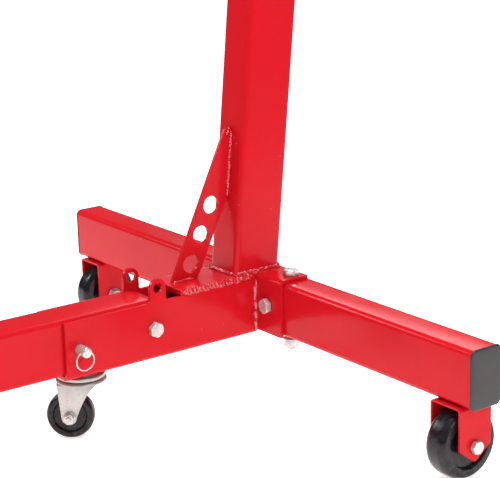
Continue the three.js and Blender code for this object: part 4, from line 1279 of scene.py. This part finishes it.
def head_welds() -> list[Weld]:
    """The beads at the mast head, the ram's foot bracket and the bracket under the boom."""
    base, forward, up = mast_frame()
    low, high = span("ram_head_bracket")
    head = np.linalg.norm(joint_place("boom_lift") - base) - 55 * MM
    foot = float((joint_place("ram_tilt") - base) @ up)

    def line(out: float, side: float, heights: tuple[float, float]) -> list[np.ndarray]:
        """A seam up the mast, given by its reach forward and sideways and its two heights."""
        return [base + up * h + forward * out + np.array([0.0, side, 0.0]) for h in heights]

    cheeks, feet, heads = [], [], []
    for label, sign, side, later in (("left", 1.0, high[1], 0), ("right", -1.0, low[1], 2)):
        for edge, out in (("front", 31.5 * MM), ("back", -31.5 * MM)):
            seam = line(out, sign * 30.6 * MM, (head - 82 * MM, head - 6 * MM))
            cheeks.append(Weld(f"cheek_weld_{label}_{edge}", "frame", seam, THIN_BEAD, 51 + later))
        seam = line(39.2 * MM, sign * 20.0 * MM, (foot - 27 * MM, foot + 27 * MM))
        feet.append(Weld(f"ram_foot_weld_{label}", "frame", seam, THIN_BEAD, 61 + later))
        seam = [(x, side, high[2] - 0.2 * MM) for x in (low[0] + 2 * MM, high[0] - 2 * MM)]
        heads.append(Weld(f"ram_head_weld_{label}", "boom", seam, THIN_BEAD, 71 + later))
    return [*cheeks, *feet, *heads]


# ------------------------------------------------------------------ hook


@dataclass(frozen=True)
class Hook:
    """The forged hook: a round bar along a curve, thick at the bowl and drawn out to its tip.

    The route's points are (x, z) in millimetres from the swivel's place.
    """

    bar: float = 9.0 * MM
    nut_across: float = 24.0 * MM
    nut_from: float = 6.3 * MM
    nut_height: float = 13.0 * MM
    route: tuple[tuple[float, float], ...] = (
        (0, -2), (0, -20), (-13, -34), (-25, -50), (-26, -68),
        (-16, -85), (1, -92), (19, -85), (28, -69), (30, -55),
    )

    def curve(self, count: int) -> np.ndarray:
        """Points on the smooth curve through the route (a Catmull-Rom spline), as (x, z)."""
        knots = np.array(self.route, dtype=float) * MM
        ends = np.concatenate([[2 * knots[0] - knots[1]], knots, [2 * knots[-1] - knots[-2]]])
        place = np.linspace(0.0, len(knots) - 1.0, count)
        left = np.minimum(place.astype(int), len(knots) - 2)
        t = (place - left)[:, None]
        a, b, c, d = (ends[left + k] for k in range(4))
        square = (2 * a - 5 * b + 4 * c - d) * t**2
        cube = (3 * b - a - 3 * c + d) * t**3
        return 0.5 * (2 * b + (c - a) * t + square + cube)

    def build(self, yard: Yard) -> None:
        """Builds the hook's bar, and its shank with the collar and nut."""
        origin = joint_place("hook_swivel")
        flat = self.curve(90)
        path = origin + np.stack([flat[:, 0], np.zeros(len(flat)), flat[:, 1]], axis=-1)
        along = np.linspace(0.0, 1.0, len(flat))[:, None]
        angle = np.linspace(0.0, TURN, 28, endpoint=False)[None, :]
        girth = self.bar * (0.93 + 0.07 * np.cos(TURN * (along - 0.55)))
        point = np.sqrt(np.clip((1.0 - along) / 0.05, 0.0, 1.0))
        girth = girth * np.where(along > 0.95, np.maximum(point, 0.12), 1.0)
        oval = 1.0 - 0.06 * np.cos(2.0 * angle) * np.sin(math.pi * along)
        yard.place(swept("hook_bar", path, girth * oval), "hook", Finish.BLACK, "hook")

        low, high = self.nut_from, self.nut_from + self.nut_height
        flat = self.nut_across / 2.0
        collar = self.bar + 3.0 * MM
        profile = np.concatenate([
            [(0.0, high), (flat - 1.0 * MM, high), (flat + 0.6 * MM, high - 1.2 * MM)],
            [(flat + 0.6 * MM, low + 1.2 * MM), (flat - 1.0 * MM, low), (8.0 * MM, low)],
            [(8.0 * MM, -FIT), (collar - 0.8 * MM, -FIT), (collar, -1.1 * MM)],
            arc((collar - 2.0 * MM, -4.0 * MM), 2.0 * MM, 0, -90, 5),
            [(6.0 * MM, -9.0 * MM), (0.0, -9.0 * MM)],
        ])
        shank = turned("hook_shank", profile, origin, UP)
        yard.place(shank, "hook", Finish.BLACK)


# ------------------------------------------------------------------ stage


@dataclass(frozen=True)
class Lamp:
    """One square, soft light: its place, the length of its side and its power in watts."""

    name: str
    place: tuple[float, float, float]
    size: float
    power: float


LAMPS = (
    Lamp("key", (0.0, 2.9, 2.2), 1.2, 40.0),
    Lamp("top", (-0.5, 0.1, 3.4), 1.5, 104.0),
    Lamp("fill", (2.8, -0.4, 1.4), 1.4, 1.5),
    Lamp("kick", (0.9, -1.9, 1.5), 0.7, 16.0),
    Lamp("rim", (-2.3, -2.1, 1.97), 1.3, 19.0),
)


@dataclass(frozen=True)
class Studio:
    """The floor, the soft lights and the camera.

    The camera's place is given from the crossbar's front lower edge at the crane's middle. The
    sky is what matt surfaces see, the dim light what reflections see of the room and of the
    floor beyond the fade, whose two ends are given by their distances from the crane.
    """

    azimuth: float = 143.4206
    elevation: float = 15.408
    roll: float = -1.2922
    lens: float = 115.94
    place: tuple[float, float, float] = (1.2811, 1.7432, 0.7176)
    sky: float = 0.52
    dim: float = 0.12
    floor_glow: float = 0.55
    floor_reach: float = 40.0
    fade: tuple[float, float] = (1.1, 2.6)
    aim: tuple[float, float, float] = (-0.3, 0.1, 0.25)

    def build(self) -> None:
        """Sets the stage."""
        self._camera()
        self._floor()
        self._surround()
        self._lights()
        view = bpy.context.scene.view_settings
        view.view_transform = "Standard"
        view.look = "None"

    def _camera(self) -> None:
        """Puts the camera where its azimuth, elevation and roll say, with no shift."""
        low, high = span("crossbar")
        origin = np.array([high[0], 0.0, low[2]])
        turn, rise, roll = (math.radians(v) for v in (self.azimuth, self.elevation, self.roll))
        right = np.array([math.cos(turn), math.sin(turn), 0.0])
        level = np.array([math.sin(turn), -math.cos(turn), 0.0])
        back = math.cos(rise) * level + math.sin(rise) * UP
        up = np.cross(back, right)
        side = math.cos(roll) * right + math.sin(roll) * up
        top = -math.sin(roll) * right + math.cos(roll) * up
        lens = bpy.data.cameras.new("camera")
        lens.lens = self.lens
        lens.sensor_width = 36.0
        lens.clip_end = 100.0
        camera = linked("camera", lens)
        pose = np.eye(4)
        pose[:3, 0], pose[:3, 1], pose[:3, 2] = side, top, back
        pose[:3, 3] = origin + np.array(self.place)
        camera.matrix_world = Matrix(pose.tolist())
        bpy.context.scene.camera = camera

    def _floor(self) -> None:
        """A wide pale floor. A reflection sees it only near the crane; farther out it is dim."""
        mesh = bpy.data.meshes.new("studio_floor")
        corners = ((-1.0, -1.0), (1.0, -1.0), (1.0, 1.0), (-1.0, 1.0))
        reach = self.floor_reach
        mesh.from_pydata([(x * reach, y * reach, 0.0) for x, y in corners], [], [(0, 1, 2, 3)])
        floor = linked("studio_floor", mesh)
        paint = bpy.data.materials.new("studio_floor")
        paint.use_nodes = True
        nodes = Nodes(paint.node_tree)
        shader = paint.node_tree.nodes["Principled BSDF"]
        for name, value in (
            ("Base Color", (0.94, 0.94, 0.94, 1.0)),
            ("Roughness", 0.9),
            ("Specular IOR Level", 0.0),
            ("Emission Color", (1.0, 1.0, 1.0, 1.0)),
            ("Emission Strength", self.floor_glow),
        ):
            nodes.put(value, shader.inputs[name])
        away = nodes.add("ShaderNodeVectorMath", operation="LENGTH")
        nodes.put(nodes.add("ShaderNodeTexCoord").outputs["Object"], away.inputs[0])
        seen = nodes.add("ShaderNodeLightPath").outputs["Is Glossy Ray"]
        fade = nodes.ramp(away.outputs["Value"], *self.fade)
        dark = nodes.add("ShaderNodeEmission", Strength=self.dim)
        mix = nodes.add("ShaderNodeMixShader")
        parts = (nodes.math("MULTIPLY", fade, seen), shader.outputs[0], dark.outputs[0])
        for source, target in zip(parts, mix.inputs):
            nodes.put(source, target)
        nodes.put(mix.outputs[0], paint.node_tree.nodes["Material Output"].inputs["Surface"])
        mesh.materials.append(paint)

    def _surround(self) -> None:
        """White to the eye and to matt surfaces, dim in reflections, as in a darkened studio."""
        world = bpy.data.worlds.new("studio")
        bpy.context.scene.world = world
        world.use_nodes = True
        nodes = Nodes(world.node_tree)
        path = nodes.add("ShaderNodeLightPath").outputs
        sky = world.node_tree.nodes["Background"]
        nodes.put((1.0, 1.0, 1.0, 1.0), sky.inputs["Color"])
        soft = nodes.math("MULTIPLY", path["Is Diffuse Ray"], self.sky)
        seen = nodes.math("ADD", path["Is Camera Ray"], soft)
        nodes.put(nodes.math("MAXIMUM", seen, self.dim), sky.inputs["Strength"])

    def _lights(self) -> None:
        """Five soft square lights, all aimed at the crane's base."""
        for lamp in LAMPS:
            data = bpy.data.lights.new(lamp.name, "AREA")
            data.size = lamp.size
            data.energy = lamp.power
            light = linked(lamp.name, data)
            aim = (Vector(self.aim) - Vector(lamp.place)).to_track_quat("-Z", "Y")
            light.matrix_world = Matrix.Translation(lamp.place) @ aim.to_matrix().to_4x4()


# ------------------------------------------------------------------ the crane


CASTERS = ("centre_caster", "front_left_caster", "front_right_caster")
CAPS = ("end_cap_left", "end_cap_right", "front_cap_left", "front_cap_right")


def fasteners() -> list[Bolt]:
    """Every bolt, with its size and the direction its head faces."""
    left, right = (0.0, 1.0, 0.0), (0.0, -1.0, 0.0)
    up, forward = (0.0, 0.0, 1.0), (1.0, 0.0, 0.0)
    bolts = []
    for side, outward in (("left", left), ("right", right)):
        bolts += [
            Bolt(f"saddle_bolt_top_{side}", M12, up, 0.2),
            Bolt(f"saddle_bolt_side_{side}", M12, forward, 0.5),
            Bolt(f"front_bolt_top_{side}", M12, up, 0.7),
            Bolt(f"wheel_axle_{side}", M10, outward, 0.1),
        ]
    bolts += [
        Bolt("leg_pivot_bolt", M12, left, 0.45),
        Bolt("hook_bolt", M12, left, 0.2),
        Bolt("boom_pivot_bolt", M16, left, 0.1),
        Bolt("ram_foot_bolt", M16, left, 0.6),
        Bolt("ram_head_bolt", M16, left, 0.3),
    ]
    for caster in CASTERS:
        bolts.append(Bolt(f"{caster}_axle", M8, tuple(joint_axis(f"{caster}_spin")), 0.3))
    return bolts


def wheels() -> list[Wheel]:
    """The two rear wheels and the three caster wheels, each size in the order of its fields."""
    rear = [f"rear_wheel_{side}" for side in ("left", "right")]
    big = [46.5, 35, 45, 28, 11, 63, 6, 6]
    small = [32, 23, 27, 20, 9, 44, 4, 4]
    made = [Wheel(node, f"{node}_spin", *[v * MM for v in big]) for node in rear]
    made += [Wheel(f"{name}_wheel", f"{name}_spin", *[v * MM for v in small]) for name in CASTERS]
    return made


def main() -> None:
    """Builds every piece of the crane and the stage it stands on."""
    Studio().build()
    yard = Yard()
    PlateWork().build(yard)
    for node in CAPS:
        EndCap(node).build(yard)
    for bolt in fasteners():
        bolt.build(yard)
    LockPin().build(yard)
    for wheel in wheels():
        wheel.build(yard)
    for name in CASTERS:
        Caster(name).build(yard)
    deck_top = span("deck_plate")[1][2]
    for weld in [*base_welds(deck_top), *mast_welds(deck_top), leg_end_weld(), *head_welds()]:
        weld.build(yard)
    Hook().build(yard)


if __name__ == "__main__":
    main()
